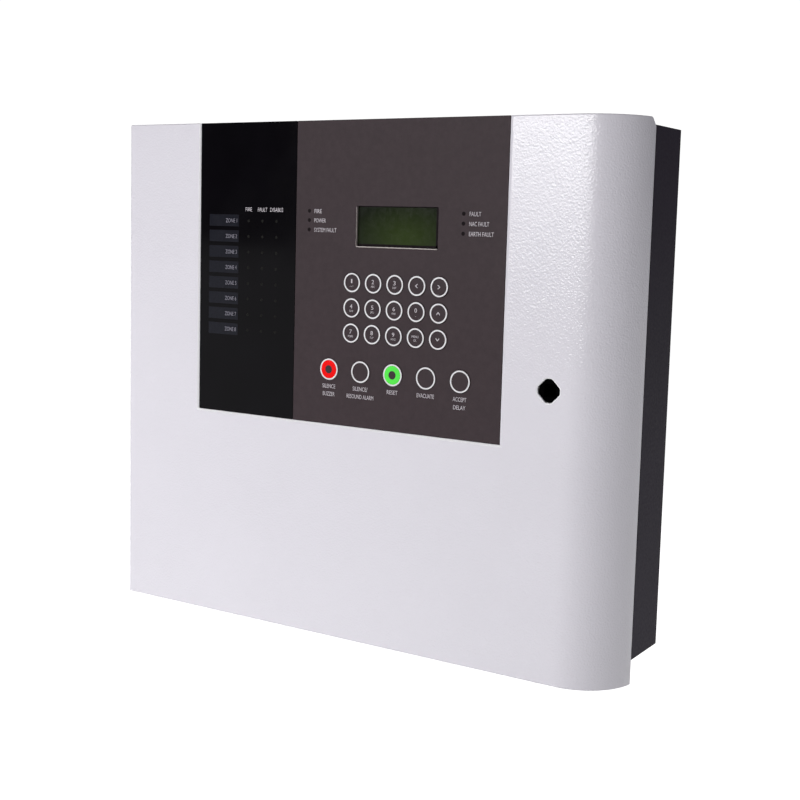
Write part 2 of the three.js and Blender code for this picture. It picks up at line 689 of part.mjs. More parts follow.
// A flat bar round the front of both batteries, with feet on the box's back sheet.
function batteryRetainer() {
  const strip = 1.2;
  const x0 = BATTERIES_LEFT - GAP - strip;
  const x1 = BATTERY_XS[1] + BATTERY.width / 2 + GAP + strip;
  const z0 = BATTERY_Z + 48;
  const z1 = z0 + 14;
  const barFront = BATTERY_FRONT - GAP - strip;
  const back = BOX_BACK - GAP;
  const front = block(x0, x1, barFront, barFront + strip, z0, z1);
  const leftLeg = block(x0, x0 + strip, barFront, back, z0, z1);
  const rightLeg = block(x1 - strip, x1, barFront, back, z0, z1);
  const foot = block(x1 - strip, x1 + 14, back - strip, back, z0, z1);
  return join(front, leftLeg, rightLeg, foot);
}

// A plain tube along a smooth line through a few points.
function lead(points, radius, steps) {
  const line = new THREE.CatmullRomCurve3(points.map(([x, y, z]) => new THREE.Vector3(x, y, z)));
  const section = new THREE.Shape();
  section.absarc(0, 0, radius, 0, Math.PI * 2, false);
  const options = { steps, extrudePath: line, bevelEnabled: false, curveSegments: 4 };
  return new THREE.ExtrudeGeometry(section, options);
}

// The short lead that joins the two batteries in series, with a push-on tag at each end.
function batteryLink() {
  const from = BATTERY_XS[0] + TERMINAL_X;
  const to = BATTERY_XS[1] - TERMINAL_X;
  const tagBottom = BATTERY_Z + BATTERY.height + 2.1;
  const tags = [from, to].map((x) => cut(
    block(x - 4.2, x + 4.2, TERMINAL_Y - 2.1, TERMINAL_Y + 2.1, tagBottom, tagBottom + 9),
    block(x - 3.4, x + 3.4, TERMINAL_Y - 0.7, TERMINAL_Y + 0.7, tagBottom - 1, tagBottom + 5.6),
  ));
  const rise = tagBottom + 8;
  const wire = lead([
    [from, TERMINAL_Y, rise], [from + 1, TERMINAL_Y, rise + 4], [from + 8, TERMINAL_Y, rise + 8],
    [to - 8, TERMINAL_Y, rise + 8], [to - 1, TERMINAL_Y, rise + 4], [to, TERMINAL_Y, rise],
  ], 1.6, 18);
  return join(wire, ...tags);
}

// ---------------------------------------------------------------- ribbon cable

const RIBBON_REAR = MAIN_BOARD.front - RIBBON.height;
const RIBBON_FRONT = BOARD_REAR + RIBBON.height;

// The ribbon leaves the main board's plug, turns round near the hinges and reaches the door's plug.
function ribbonCable() {
  const half = RIBBON.thickness / 2;
  const turnRadius = (RIBBON_REAR - RIBBON_FRONT) / 2;
  const turnY = (RIBBON_REAR + RIBBON_FRONT) / 2;
  const turnX = -154;
  const end = RIBBON.x - 4 - GAP;
  const shape = new THREE.Shape();
  shape.moveTo(end, RIBBON_REAR + half);
  shape.lineTo(turnX, RIBBON_REAR + half);
  shape.absarc(turnX, turnY, turnRadius + half, Math.PI / 2, Math.PI * 1.5, false);
  shape.lineTo(end, RIBBON_FRONT - half);
  shape.lineTo(end, RIBBON_FRONT + half);
  shape.lineTo(turnX, RIBBON_FRONT + half);
  shape.absarc(turnX, turnY, turnRadius - half, Math.PI * 1.5, Math.PI / 2, true);
  shape.lineTo(end, RIBBON_REAR - half);
  return standing(shape, RIBBON.z - RIBBON.width / 2, RIBBON.z + RIBBON.width / 2, 10);
}

// The plug on each end of the ribbon, standing on its board between two depths.
function ribbonPlug(y0, y1) {
  const half = RIBBON.width / 2 + 3;
  return block(RIBBON.x - 4, RIBBON.x + 4, y0, y1, RIBBON.z - half, RIBBON.z + half);
}

// ---------------------------------------------------------------- assembly

const panel = new THREE.Group();
const cabinet = new THREE.Group();
const door = new THREE.Group();
panel.add(cabinet, door);

piece('back_box', backBox(), FINISH.boxPaint, cabinet);
GROMMET_XS.forEach((x, i) => {
  const mesh = piece(['cable_grommet_left', 'cable_grommet_right'][i], grommet(), FINISH.rubber, cabinet);
  mesh.position.set(x, KNOCKOUT.y, BOX_TOP);
});

const half = HINGE.length / 2;
const third = HINGE.length / 6;
[['upper', HINGE.z], ['lower', -HINGE.z]].forEach(([place, z]) => {
  const outer = [[-half, -third - GAP / 2], [third + GAP / 2, half]];
  const inner = [[-third + GAP / 2, third - GAP / 2]];
  piece(`box_hinge_leaf_${place}`, hingeLeaf(1, outer), FINISH.zinc, cabinet).position.z = z;
  piece(`hinge_pin_${place}`, hingePin(), FINISH.steel, cabinet).position.z = z;
  piece(`door_hinge_leaf_${place}`, hingeLeaf(-1, inner), FINISH.zinc, door).position.z = z;
});

piece('chassis_plate', chassisPlate(), FINISH.zinc, cabinet);
piece('main_board', mainBoard(), FINISH.greenBoard, cabinet);
const onBoard = MAIN_BOARD.front - GAP;
const onBackSheet = BOX_BACK - GAP;
piece('zone_terminals', terminalRow(ZONE_ROW), FINISH.greenPlastic, cabinet)
  .position.set(ZONE_ROW.x, onBoard, ZONE_ROW.z);
piece('sounder_terminals', terminalRow(SOUNDER_ROW), FINISH.greenPlastic, cabinet)
  .position.set(SOUNDER_ROW.x, onBoard, SOUNDER_ROW.z);
piece('mains_terminals', terminalRow(MAINS_ROW), FINISH.whitePlastic, cabinet)
  .position.set(MAINS_ROW.x, onBackSheet, MAINS_ROW.z);
piece('power_supply', powerSupply(), FINISH.zinc, cabinet);
piece('fuse_holder', fuseHolder(), FINISH.blackPlastic, cabinet)
  .position.set(FUSE.x, onBackSheet, FUSE.z);
piece('earth_stud', earthStud(), FINISH.brass, cabinet)
  .position.set(EARTH.x, onBackSheet, EARTH.z);

piece('battery_shelf', batteryShelf(), FINISH.zinc, cabinet);
['battery_left', 'battery_right'].forEach((name, i) => {
  piece(name, battery(), FINISH.greyPlastic, cabinet).position.set(BATTERY_XS[i], 0, BATTERY_Z);
});
piece('battery_retainer', batteryRetainer(), FINISH.zinc, cabinet);
piece('battery_link', batteryLink(), FINISH.redWire, cabinet);

piece('ribbon_cable', ribbonCable(), FINISH.ribbon, cabinet);
piece('ribbon_plug_main', ribbonPlug(RIBBON_REAR - 2.5, onBoard), FINISH.blackPlastic, cabinet);

piece('door_shell', doorShell(), FINISH.doorPaint, door);
piece('zone_window', zoneWindow(), FINISH.smoked, door);
piece('keypad_fascia', keypadFascia(), FINISH.fascia, door);
piece('display_frame', displayFrame(), FINISH.blackPlastic, door);
piece('display_board', displayBoard(), FINISH.greenBoard, door);
piece('lcd_module', lcdModule(), FINISH.blackPlastic, door);
piece('lcd_window', lcdWindow(), FINISH.glass, door);
piece('led_block', ledBlock(), FINISH.blackPlastic, door);
piece('zone_label_card', labelCard(), FINISH.card, door);
piece('buzzer', buzzer(), FINISH.blackPlastic, door).position.set(BUZZER.x, 0, BUZZER.z);
piece(
  'ribbon_plug_display', ribbonPlug(BOARD_REAR + GAP, RIBBON_FRONT + 2.5), FINISH.blackPlastic, door,
);

PUSHES.forEach(({ name, x, z, size }) => {
  piece(name, pushPiece(size), FINISH.fascia, door).position.set(x, 0, z);
});

const lock = new THREE.Group();
lock.position.set(LOCK.x, 0, LOCK.z);
door.add(lock);
piece('lock_housing', lockHousing(), FINISH.zinc, lock);
piece('lock_barrel', lockBarrel(), FINISH.blackPlastic, lock);
piece('lock_tongue', lockTongue(), FINISH.zinc, lock);

export default panel;
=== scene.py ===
"""Looks of the fire alarm control panel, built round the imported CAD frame.

Metres, +X to the right of a person facing the panel, +Y into the wall, +Z up.
"""
import math
import random

import bmesh
import bpy
from mathutils import Matrix, Vector
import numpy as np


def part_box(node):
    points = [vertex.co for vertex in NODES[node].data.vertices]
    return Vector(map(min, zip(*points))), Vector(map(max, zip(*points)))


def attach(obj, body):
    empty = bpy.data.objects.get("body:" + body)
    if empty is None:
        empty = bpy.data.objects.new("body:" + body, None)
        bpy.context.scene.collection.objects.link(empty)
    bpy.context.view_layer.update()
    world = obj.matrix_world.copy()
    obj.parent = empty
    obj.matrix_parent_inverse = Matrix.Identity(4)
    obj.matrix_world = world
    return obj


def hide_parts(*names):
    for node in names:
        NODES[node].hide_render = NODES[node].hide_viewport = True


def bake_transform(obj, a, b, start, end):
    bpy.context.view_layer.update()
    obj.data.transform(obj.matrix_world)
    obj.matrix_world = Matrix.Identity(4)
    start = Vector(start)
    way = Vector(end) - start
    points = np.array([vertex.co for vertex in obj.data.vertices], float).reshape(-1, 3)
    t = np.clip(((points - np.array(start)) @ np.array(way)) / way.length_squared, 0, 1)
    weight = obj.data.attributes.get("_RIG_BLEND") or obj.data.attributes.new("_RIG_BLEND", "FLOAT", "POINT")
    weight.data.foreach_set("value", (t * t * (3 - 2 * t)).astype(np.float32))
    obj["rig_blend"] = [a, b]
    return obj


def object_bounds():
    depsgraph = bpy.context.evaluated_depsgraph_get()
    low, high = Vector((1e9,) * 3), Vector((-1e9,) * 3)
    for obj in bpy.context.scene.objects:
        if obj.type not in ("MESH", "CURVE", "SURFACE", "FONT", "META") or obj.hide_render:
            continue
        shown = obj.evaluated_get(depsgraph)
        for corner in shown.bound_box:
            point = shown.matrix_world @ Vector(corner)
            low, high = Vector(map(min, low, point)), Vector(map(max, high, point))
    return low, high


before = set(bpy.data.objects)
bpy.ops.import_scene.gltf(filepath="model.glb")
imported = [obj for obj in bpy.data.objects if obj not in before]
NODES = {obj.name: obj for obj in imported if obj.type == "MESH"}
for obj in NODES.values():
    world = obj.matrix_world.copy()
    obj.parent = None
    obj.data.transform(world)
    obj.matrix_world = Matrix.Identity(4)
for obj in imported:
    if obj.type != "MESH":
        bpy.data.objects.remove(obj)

CAD_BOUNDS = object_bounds()
MM = 0.001

scene = bpy.context.scene


# ---------------------------------------------------------------- places read from the frame


def low(node):
    """Lowest corner of a CAD node in millimetres."""
    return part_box(node)[0] / MM


def high(node):
    """Highest corner of a CAD node in millimetres."""
    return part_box(node)[1] / MM


def middle(node):
    """Middle of a CAD node in millimetres."""
    return (low(node) + high(node)) / 2


FASCIA_FRONT = low("keypad_fascia").y
FASCIA_REAR = high("keypad_fascia").y
KEYPAD_X = middle("key_3").x
LCD_WIDTH, LCD_HEIGHT = 61.0, 26.2
LCD_Z = middle("lcd_window").z
ZONE_PITCH = 10.58
ZONE_TOP_Z = high("led_block").z - 5.5
ZONE_ZS = [ZONE_TOP_Z - zone * ZONE_PITCH for zone in range(8)]
LED_XS = [-83.7, -71.9, -60.1]


# ---------------------------------------------------------------- materials


class Look:
    """A procedural material: one Principled shader with noise for its colour, gloss and relief."""

    def __init__(self, name, colour, roughness, metallic=0.0, specular=0.5, coat=0.0):
        self.material = bpy.data.materials.new(name)
        self.material.use_nodes = True
        self.tree = self.material.node_tree
        self.shader = self.tree.nodes["Principled BSDF"]
        self.colour = colour
        for socket, value in {
            "Base Color": (*colour, 1), "Roughness": roughness, "Metallic": metallic,
            "Specular IOR Level": specular, "Coat Weight": coat, "Coat Roughness": 0.08,
        }.items():
            self.socket(socket).default_value = value
        self.place = self.node("ShaderNodeTexCoord").outputs["Object"]

    def socket(self, name):
        return self.shader.inputs[name]

    def link(self, source, target):
        self.tree.links.new(source, target)

    def node(self, kind, inputs=(), **settings):
        """A new node; each input gets a value, or a link where a socket is given."""
        made = self.tree.nodes.new(kind)
        for key, value in settings.items():
            setattr(made, key, value)
        for name, value in dict(inputs).items():
            if isinstance(value, bpy.types.NodeSocket):
                self.link(value, made.inputs[name])
            else:
                made.inputs[name].default_value = value
        return made

    def mapped(self, source, **values):
        return self.node("ShaderNodeMapping", {"Vector": source, **values}).outputs["Vector"]

    def noise(self, scale, detail):
        inputs = {"Vector": self.place, "Scale": scale, "Detail": detail}
        return self.node("ShaderNodeTexNoise", inputs).outputs["Fac"]

    def cells(self, scale):
        return self.node("ShaderNodeTexVoronoi", {"Vector": self.place, "Scale": scale}).outputs["Distance"]

    def ramp(self, pattern, *stops):
        """Colours the surface by a pattern, between two stops of (position, colour)."""
        ramp = self.node("ShaderNodeValToRGB", {"Fac": pattern})
        for element, (position, colour) in zip(ramp.color_ramp.elements, stops):
            element.position = position
            element.color = (*colour, 1)
        self.link(ramp.outputs["Color"], self.socket("Base Color"))
        return self

    def tint(self, pattern, share, other=None):
        """Mixes the base colour towards another one, or a darker one, where the pattern is high."""
        other = other or tuple(c * (1 - share) for c in self.colour)
        return self.ramp(pattern, (0.3, self.colour), (0.7, other))

    def gloss(self, pattern, low_roughness, high_roughness):
        span = self.node("ShaderNodeMapRange", {
            "Value": pattern, "From Min": 0.3, "From Max": 0.7,
            "To Min": low_roughness, "To Max": high_roughness,
        })
        self.link(span.outputs["Result"], self.socket("Roughness"))
        return self

    def relief(self, pattern, height_mm, strength):
        bump = self.node("ShaderNodeBump", {
            "Height": pattern, "Strength": strength, "Distance": height_mm * MM,
        })
        before = self.socket("Normal").links
        if before:
            self.link(before[0].from_socket, bump.inputs["Normal"])
        self.link(bump.outputs["Normal"], self.socket("Normal"))
        return self


def surface(name, colour, roughness, gloss, reliefs=(), tint=None, **shader):
    """A Look whose gloss, reliefs and tint each start with the scale and detail of their noise."""
    look = Look(name, colour, roughness, **shader)
    for scale, detail, height_mm, strength in reliefs:
        look.relief(look.noise(scale, detail), height_mm, strength)
    look.gloss(look.noise(*gloss[:2]), *gloss[2:])
    if tint:
        look.tint(look.noise(*tint[:2]), *tint[2:])
    return look


def door_paint():
    look = surface(
        "door_paint", (0.74, 0.715, 0.78), 0.42, (900, 2, 0.38, 0.48),
        [(880, 1, 0.2, 1.0), (2400, 2, 0.03, 0.6)], (14, 3, 0.03), coat=1.0,
    )
    look.link(look.socket("Normal").links[0].from_socket, look.socket("Coat Normal"))
    return look.material


def metal(name, colour, roughness, gloss, relief, tint):
    return surface(name, colour, roughness, gloss, [relief], tint, metallic=1.0).material


def steel(name, colour, roughness):
    gloss = (700, 3, roughness - 0.05, roughness + 0.09)
    return metal(name, colour, roughness, gloss, (2500, 2, 0.01, 0.4), (90, 3, 0.12))


def plastic(name, colour, roughness, grain=0.03, shade=0.12, specular=0.5):
    gloss = (400, 2, roughness - 0.06, roughness + 0.08)
    reliefs = [(1700, 2, grain, 0.5)]
    return surface(name, colour, roughness, gloss, reliefs, (50, 3, shade), specular=specular).material


def fascia_print():
    look = surface(
        "fascia_print", (0.041, 0.0275, 0.032), 0.5, (1200, 2, 0.46, 0.6), tint=(260, 3, 0.16), specular=0.17,
    )
    return look.relief(look.cells(2600), 0.03, 0.45).material


def ink(name, colour):
    return surface(name, colour, 0.55, (900, 2, 0.47, 0.63), tint=(2400, 2, 0.08), specular=0.1).material


def lcd_glass():
    """Dark green display glass with painted shade: darker towards its edges and most at its top, where the
    opening shades it, and brighter low in its right half.
    """
    look = surface("lcd_glass", (0.030, 0.045, 0.012), 0.09, (500, 2, 0.07, 0.13), specular=0.22)
    # The spherical falloff below is painted shade on the glass, not a glow.
    centre = look.mapped(look.place, Location=(-0.040, 0, -(LCD_Z - 7) * MM))
    spread = look.mapped(centre, Scale=(24, 0, 42))
    painted_shade = look.node("ShaderNodeTexGradient", {"Vector": spread}, gradient_type="SPHERICAL")
    dark, bright = (0.0085, 0.0115, 0.0060), (0.027, 0.043, 0.0095)
    return look.ramp(painted_shade.outputs["Fac"], (0, dark), (0.85, bright)).material


def fuse_glass():
    look = surface("fuse_glass", (0.80, 0.84, 0.84), 0.06, (300, 2, 0.04, 0.1))
    look.socket("Transmission Weight").default_value = 0.9
    return look.material


def circuit_board():
    """Green solder mask over tracks, a brick pattern turned to lie on faces that look along Y."""
    look = surface("circuit_board", (0.012, 0.085, 0.032), 0.3, (80, 3, 0.24, 0.4), coat=0.3)
    tracks = look.node("ShaderNodeTexBrick", {
        "Vector": look.mapped(look.place, Rotation=(math.pi / 2, 0, 0)),
        "Scale": 130, "Mortar Size": 0.012, "Color1": (0.010, 0.080, 0.028, 1),
        "Color2": (0.014, 0.100, 0.038, 1), "Mortar": (0.030, 0.155, 0.060, 1),
    })
    look.link(tracks.outputs["Color"], look.socket("Base Color"))
    return look.relief(tracks.outputs["Fac"], 0.03, 0.4).material


DOOR_PAINT = door_paint()
# Whiter paint for the chamfers at the notch and the lock hole: a painted highlight added to the light these
# real chamfers catch.
DOOR_EDGE_HIGHLIGHT = surface(
    "door_edge_highlight", (0.98, 0.97, 1.0), 0.4, (900, 2, 0.2, 0.32), tint=(60, 3, 0.03), coat=0.5,
).material
BOX_PAINT = surface(
    "box_paint", (0.030, 0.024, 0.037), 0.48, (600, 2, 0.42, 0.56), [(1500, 2, 0.05, 0.6)], (9, 3, 0.25),
    specular=0.03,
).material
ZINC = metal(
    "zinc_plate", (0.58, 0.59, 0.60), 0.34, (420, 3, 0.3, 0.4), (900, 3, 0.008, 0.3),
    (35, 4, 0.08, (0.52, 0.52, 0.50)),
)
BRASS = metal("brass", (0.58, 0.39, 0.13), 0.3, (500, 3, 0.24, 0.38), (1800, 2, 0.01, 0.4), (120, 3, 0.2))
STEEL = steel("bright_steel", (0.66, 0.66, 0.65), 0.24)
TIN = steel("tinned_copper", (0.72, 0.72, 0.70), 0.3)
FASCIA = fascia_print()
SMOKED = surface(
    "smoked_window", (0.0026, 0.0021, 0.0034), 0.1, (30, 2, 0.07, 0.13), [(160, 1, 0.004, 0.3)],
    (45, 3, 0.3), specular=0.09,
).material
LABEL_WINDOW = surface(
    "label_window", (0.0115, 0.0120, 0.0185), 0.16, (300, 2, 0.12, 0.22), tint=(700, 3, 0.25), specular=0.12,
).material
LCD_GLASS = lcd_glass()
BOARD = circuit_board()
GLASS = fuse_glass()
WHITE_INK = ink("white_ink", (0.86, 0.85, 0.87))
GREY_INK = ink("grey_ink", (0.62, 0.58, 0.62))
DIM_INK = ink("dim_ink", (0.26, 0.25, 0.30))
RED_INK = ink("red_ink", (1.0, 0.0005, 0.001))
GREEN_INK = ink("green_ink", (0.115, 0.93, 0.09))
LAMP_DARK = plastic("lamp_dark", (0.008, 0.005, 0.006), 0.5, specular=0.05)
LAMP_RED = plastic("lamp_red", (0.35, 0.01, 0.01), 0.2)
LAMP_AMBER = plastic("lamp_amber", (0.45, 0.16, 0.01), 0.2)
BAND_BLUE = plastic("band_blue", (0.02, 0.07, 0.22), 0.4)
LAMP_SMOKED = plastic("lamp_smoked", (0.011, 0.011, 0.010), 0.5, specular=0.05)
LINER = plastic("lcd_liner", (0.50, 0.45, 0.43), 0.4, shade=0.06)
BLACK = plastic("black_plastic", (0.012, 0.012, 0.013), 0.42)
# Black lock barrel, darkened further to almost no colour and no sheen: painted shade for the deep keyhole
# that light hardly reaches.
LOCK_BLACK_AND_SHADE = plastic("lock_black_and_shade", (0.0006, 0.0005, 0.0007), 0.9, specular=0.02)
WHITE = plastic("white_plastic", (0.68, 0.68, 0.65), 0.45)
CARD = plastic("label_card", (0.55, 0.56, 0.55), 0.7)
TERMINAL_GREEN = plastic("terminal_green", (0.025, 0.24, 0.07), 0.42)
BATTERY_CASE = plastic("battery_case", (0.045, 0.048, 0.053), 0.48, grain=0.06)
BATTERY_LABEL = plastic("battery_label", (0.60, 0.61, 0.62), 0.4)
RUBBER = plastic("rubber", (0.010, 0.010, 0.010), 0.8, grain=0.05)
RIBBON_GREY = plastic("ribbon_grey", (0.32, 0.33, 0.35), 0.45, shade=0.08)
RED_WIRE = plastic("red_wire", (0.42, 0.012, 0.010), 0.4)
RELAY_BLUE = plastic("relay_blue", (0.02, 0.11, 0.34), 0.35)
CAN_SLEEVE = plastic("can_sleeve", (0.012, 0.016, 0.045), 0.3)
RESISTOR = plastic("resistor_body", (0.32, 0.21, 0.10), 0.45)


# ---------------------------------------------------------------- shape helpers

CAPITAL = 0.729  # height of a capital letter of the built-in font at size 1
PRINT_DEPTH = 0.06
POINT = 1e-4  # radius of a ring that closes a round form at its axis


def circle(radius, sides):
    """Points (u, v) round a circle."""
    turns = [2 * math.pi * i / sides for i in range(sides)]
    return [(radius * math.cos(a), radius * math.sin(a)) for a in turns]


class Piece:
    """One object made of closed forms, each with its own material. Sizes are in millimetres."""

    def __init__(self, name):
        self.name = name
        self.bm = bmesh.new()
        self.materials = []

    def index(self, material):
        if material not in self.materials:
            self.materials.append(material)
        return self.materials.index(material)

    def paint(self, verts, material):
        index = self.index(material)
        for vert in verts:
            for face in vert.link_faces:
                face.material_index = index

    def form(self, rings, material, capped=True):
        """A skin through rings of points, with caps at both ends, or else closed from last to first."""
        rows = [[self.bm.verts.new(point) for point in ring] for ring in rings]
        for row, after in zip(rows, rows[1:] if capped else rows[1:] + rows[:1]):
            for i in range(len(row)):
                j = (i + 1) % len(row)
                self.bm.faces.new((row[i], row[j], after[j], after[i]))
        if capped:
            self.bm.faces.new(list(reversed(rows[0])))
            self.bm.faces.new(rows[-1])
        self.paint([v for row in rows for v in row], material)

    def block(self, x0, x1, y0, y1, z0, z1, material, bevel=0.3):
        size = Vector((x1 - x0, y1 - y0, z1 - z0))
        centre = Vector((x0 + x1, y0 + y1, z0 + z1)) / 2
        place = Matrix.Translation(centre) @ Matrix.Diagonal((*size, 1))
        verts = bmesh.ops.create_cube(self.bm, size=1, matrix=place)["verts"]
        edges = list({edge for vert in verts for edge in vert.link_edges})
        self.paint(verts, material)
        bevel = min(bevel, min(size) * 0.45)
        if bevel > 0:
            bmesh.ops.bevel(self.bm, geom=edges, offset=bevel, segments=2, profile=0.5, affect="EDGES")

    def turned(self, profile, centre, material, axis="y", sides=32):
        """A round form; the profile holds (radius, place along the axis), from its low to its high end."""
        x, y, z = centre
        turns = {
            "x": lambda u, v, along: (x + along, y + u, z + v),
            "y": lambda u, v, along: (x + u, y + along, z - v),
            "z": lambda u, v, along: (x + u, y + v, z + along),
        }
        self.form([
            [turns[axis](u, v, along) for u, v in circle(max(radius, POINT), sides)]
            for radius, along in profile
        ], material)

    def band(self, x, z, section, material, sides=64):
        """A ring that faces forwards, through the (radius, y) points of its section."""
        rings = [[(x + u, y, z + v) for u, v in circle(radius, sides)] for radius, y in section]
        self.form(rings, material, capped=False)

    def plate(self, outline, y0, y1, material):
        """An outline of (x, z) points made solid from y0 in front to y1 behind."""
        self.form([[(x, y, z) for x, z in outline] for y in (y1, y0)], material)

    def text(self, words, x, z, y, height, material, width, align="CENTER"):
        """Print on a face that looks forwards, its front at y, its capitals centred on z."""
        curve = bpy.data.curves.new(f"{self.name}_text", "FONT")
        curve.body = words
        curve.resolution_u = 3
        holder = bpy.data.objects.new(curve.name, curve)
        mesh = holder.to_mesh()
        points = [v.co.copy() for v in mesh.vertices]
        faces = [tuple(p.vertices) for p in mesh.polygons]
        holder.to_mesh_clear()
        bpy.data.objects.remove(holder)
        bpy.data.curves.remove(curve)
        x0, x1 = min(p.x for p in points), max(p.x for p in points)
        scale_x, scale_z = width / (x1 - x0), height / CAPITAL
        start = {"CENTER": (x0 + x1) / 2, "LEFT": x0, "RIGHT": x1}[align]
        front, rear = ([
            self.bm.verts.new((x + (p.x - start) * scale_x, at, z + (p.y - CAPITAL / 2) * scale_z))
            for p in points
        ] for at in (y, y + PRINT_DEPTH))
        sides = [pair for face in faces for pair in zip(face, face[1:] + face[:1])]
        known = set(sides)
        for face in faces:
            self.bm.faces.new([front[i] for i in face])
            self.bm.faces.new([rear[i] for i in reversed(face)])
        for a, b in sides:
            if (b, a) not in known:
                self.bm.faces.new((front[b], front[a], rear[a], rear[b]))
        self.paint(front + rear, material)

    def place(self, body, slot=None, replaces=(), smooth=40):
        """Makes the object, in metres, and hands it to its CAD body."""
        bmesh.ops.recalc_face_normals(self.bm, faces=self.bm.faces[:])
        mesh = bpy.data.meshes.new(self.name)
        self.bm.to_mesh(mesh)
        self.bm.free()
        mesh.transform(Matrix.Scale(MM, 4))
        for material in self.materials:
            mesh.materials.append(material)
        shade(mesh, smooth)
        return hand_over(self.name, mesh, body, slot, replaces)


def hand_over(name, mesh, body, slot, replaces=()):
    """Puts a mesh in the scene and says what it rides on and what it stands for. The slot is not used."""
    thing = bpy.data.objects.new(name, mesh)
    scene.collection.objects.link(thing)
    if body:
        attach(thing, body)
    if replaces:
        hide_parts(*replaces)
    return thing


def shade(mesh, degrees):
    mesh.polygons.foreach_set("use_smooth", [True] * len(mesh.polygons))
    mesh.set_sharp_from_angle(angle=math.radians(degrees))


def rounded(x0, x1, z0, z1, radius, steps=6):
    """Corner-rounded rectangle as (x, z) points, anticlockwise from its lower right corner."""
    corners = [
        (x1 - radius, z0 + radius, -90), (x1 - radius, z1 - radius, 0),
        (x0 + radius, z1 - radius, 90), (x0 + radius, z0 + radius, 180),
    ]
    points = []
    for cx, cz, start in corners:
        for i in range(steps + 1):
            a = math.radians(start + 90 * i / steps)
            points.append((cx + radius * math.cos(a), cz + radius * math.sin(a)))
    return points


def modifier(thing, kind, name, **settings):
    made = thing.modifiers.new(name, kind)
    for key, value in settings.items():
        setattr(made, key, value)


def finish_node(name, material, bevel, segments, angle=30):
    """A CAD node keeps its mesh and gets a material, softened edges and smooth shading."""
    node = NODES[name]
    node.data.materials.clear()
    node.data.materials.append(material)
    for attribute in [a for a in node.data.attributes if a.name == "custom_normal"]:
        node.data.attributes.remove(attribute)
    shade(node.data, angle)
    modifier(node, "WELD", "weld", merge_threshold=1e-6)
    if bevel:
        modifier(
            node, "BEVEL", "soft_edges", width=bevel * MM, segments=segments,
            limit_method="ANGLE", angle_limit=math.radians(angle), harden_normals=False,
            use_clamp_overlap=True, miter_outer="MITER_ARC",
        )
    modifier(node, "WEIGHTED_NORMAL", "even_normals", keep_sharp=False, weight=60)


# ---------------------------------------------------------------- camera, floor and light

CAMERA = {
    "place": Vector((0.4775, -0.7688, 0.0961)), "lens": 58.87,
    "azimuth": 32.082, "down": 6.507, "roll": 1.513, "shift_y": -0.02725,
}
FLOOR_DROP = 330  # how far the floor lies below the object
FLOOR_REACH = 30000


def make_camera():
    data = bpy.data.cameras.new("camera")
    data.lens = CAMERA["lens"]
    data.sensor_width = 36
    data.shift_y = CAMERA["shift_y"]
    data.clip_start, data.clip_end = 0.02, 30
    camera = bpy.data.objects.new("camera", data)
    scene.collection.objects.link(camera)
    a, e, r = (math.radians(CAMERA[key]) for key in ("azimuth", "down", "roll"))
    back = Vector((math.sin(a) * math.cos(e), -math.cos(a) * math.cos(e), math.sin(e)))
    right = (-back).cross(Vector((0, 0, 1))).normalized()
    up = back.cross(right)
    tilted_right = right * math.cos(r) + up * math.sin(r)
    tilted_up = -right * math.sin(r) + up * math.cos(r)
    turn = Matrix((tilted_right, tilted_up, back)).transposed().to_4x4()
    camera.matrix_world = Matrix.Translation(CAMERA["place"]) @ turn
    scene.camera = camera


def area_light(name, place, target, width, height, power, reflected=True):
    data = bpy.data.lights.new(name, "AREA")
    data.shape = "RECTANGLE"
    data.size, data.size_y = width, height
    data.energy = power
    light = bpy.data.objects.new(name, data)
    scene.collection.objects.link(light)
    light.visible_glossy = reflected
    light.location = place
    light.rotation_euler = (Vector(target) - Vector(place)).to_track_quat("-Z", "Y").to_euler()


def make_world():
    """White to the eye, a soft grey to the surfaces."""
    world = bpy.data.worlds.new("studio")
    scene.world = world
    world.use_nodes = True
    tree = world.node_tree
    tree.nodes.clear()
    mix = tree.nodes.new("ShaderNodeMixShader")
    for socket, colour, strength in ((1, (0.96, 0.97, 1, 1), 0.12), (2, (1, 1, 1, 1), 1.05)):
        background = tree.nodes.new("ShaderNodeBackground")
        background.inputs["Color"].default_value = colour
        background.inputs["Strength"].default_value = strength
        tree.links.new(background.outputs[0], mix.inputs[socket])
    path = tree.nodes.new("ShaderNodeLightPath")
    output = tree.nodes.new("ShaderNodeOutputWorld")
    tree.links.new(path.outputs["Is Camera Ray"], mix.inputs["Fac"])
    tree.links.new(mix.outputs[0], output.inputs["Surface"])


def make_floor():
    look = Look("studio_floor", (0.8, 0.8, 0.8), 0.9, specular=0.1)
    look.socket("Emission Color").default_value = (1, 1, 1, 1)
    look.socket("Emission Strength").default_value = 0.95
    look.tint(look.noise(3, 2), 0.01)
    corners = [(-1, -1), (1, -1), (1, 1), (-1, 1)]
    top = CAD_BOUNDS[0].z / MM - FLOOR_DROP
    floor = Piece("studio_floor")
    floor.form(
        [[(x * FLOOR_REACH, y * FLOOR_REACH, z) for x, y in corners] for z in (top - 10, top)], look.material,
    )
    thing = floor.place(None)
    thing.visible_diffuse = False


def make_studio():
    make_camera()
    make_world()
    make_floor()
    area_light("key", (-0.25, -1.75, 0.45), (0.13, 0, 0.09), 1.6, 0.5, 21.5)
    area_light("left_fill", (-0.75, -0.7, 0.1), (-0.19, 0, 0.02), 0.3, 0.4, 0.8, reflected=False)
    area_light("low_fill", (-0.5, -0.75, -0.40), (-0.12, 0, -0.13), 0.5, 0.15, 1.9, reflected=False)
    area_light("right_fill", (1.2, 0.1, -0.2), (0.19, -0.03, 0), 0.6, 0.4, 2.6, reflected=False)
    area_light("back_fill", (-0.6, 1.8, 0.9), (0, 0, 0), 1.4, 1.2, 8)
    scene.view_settings.view_transform = "Standard"
    scene.view_settings.look = "None"


# ---------------------------------------------------------------- door shell

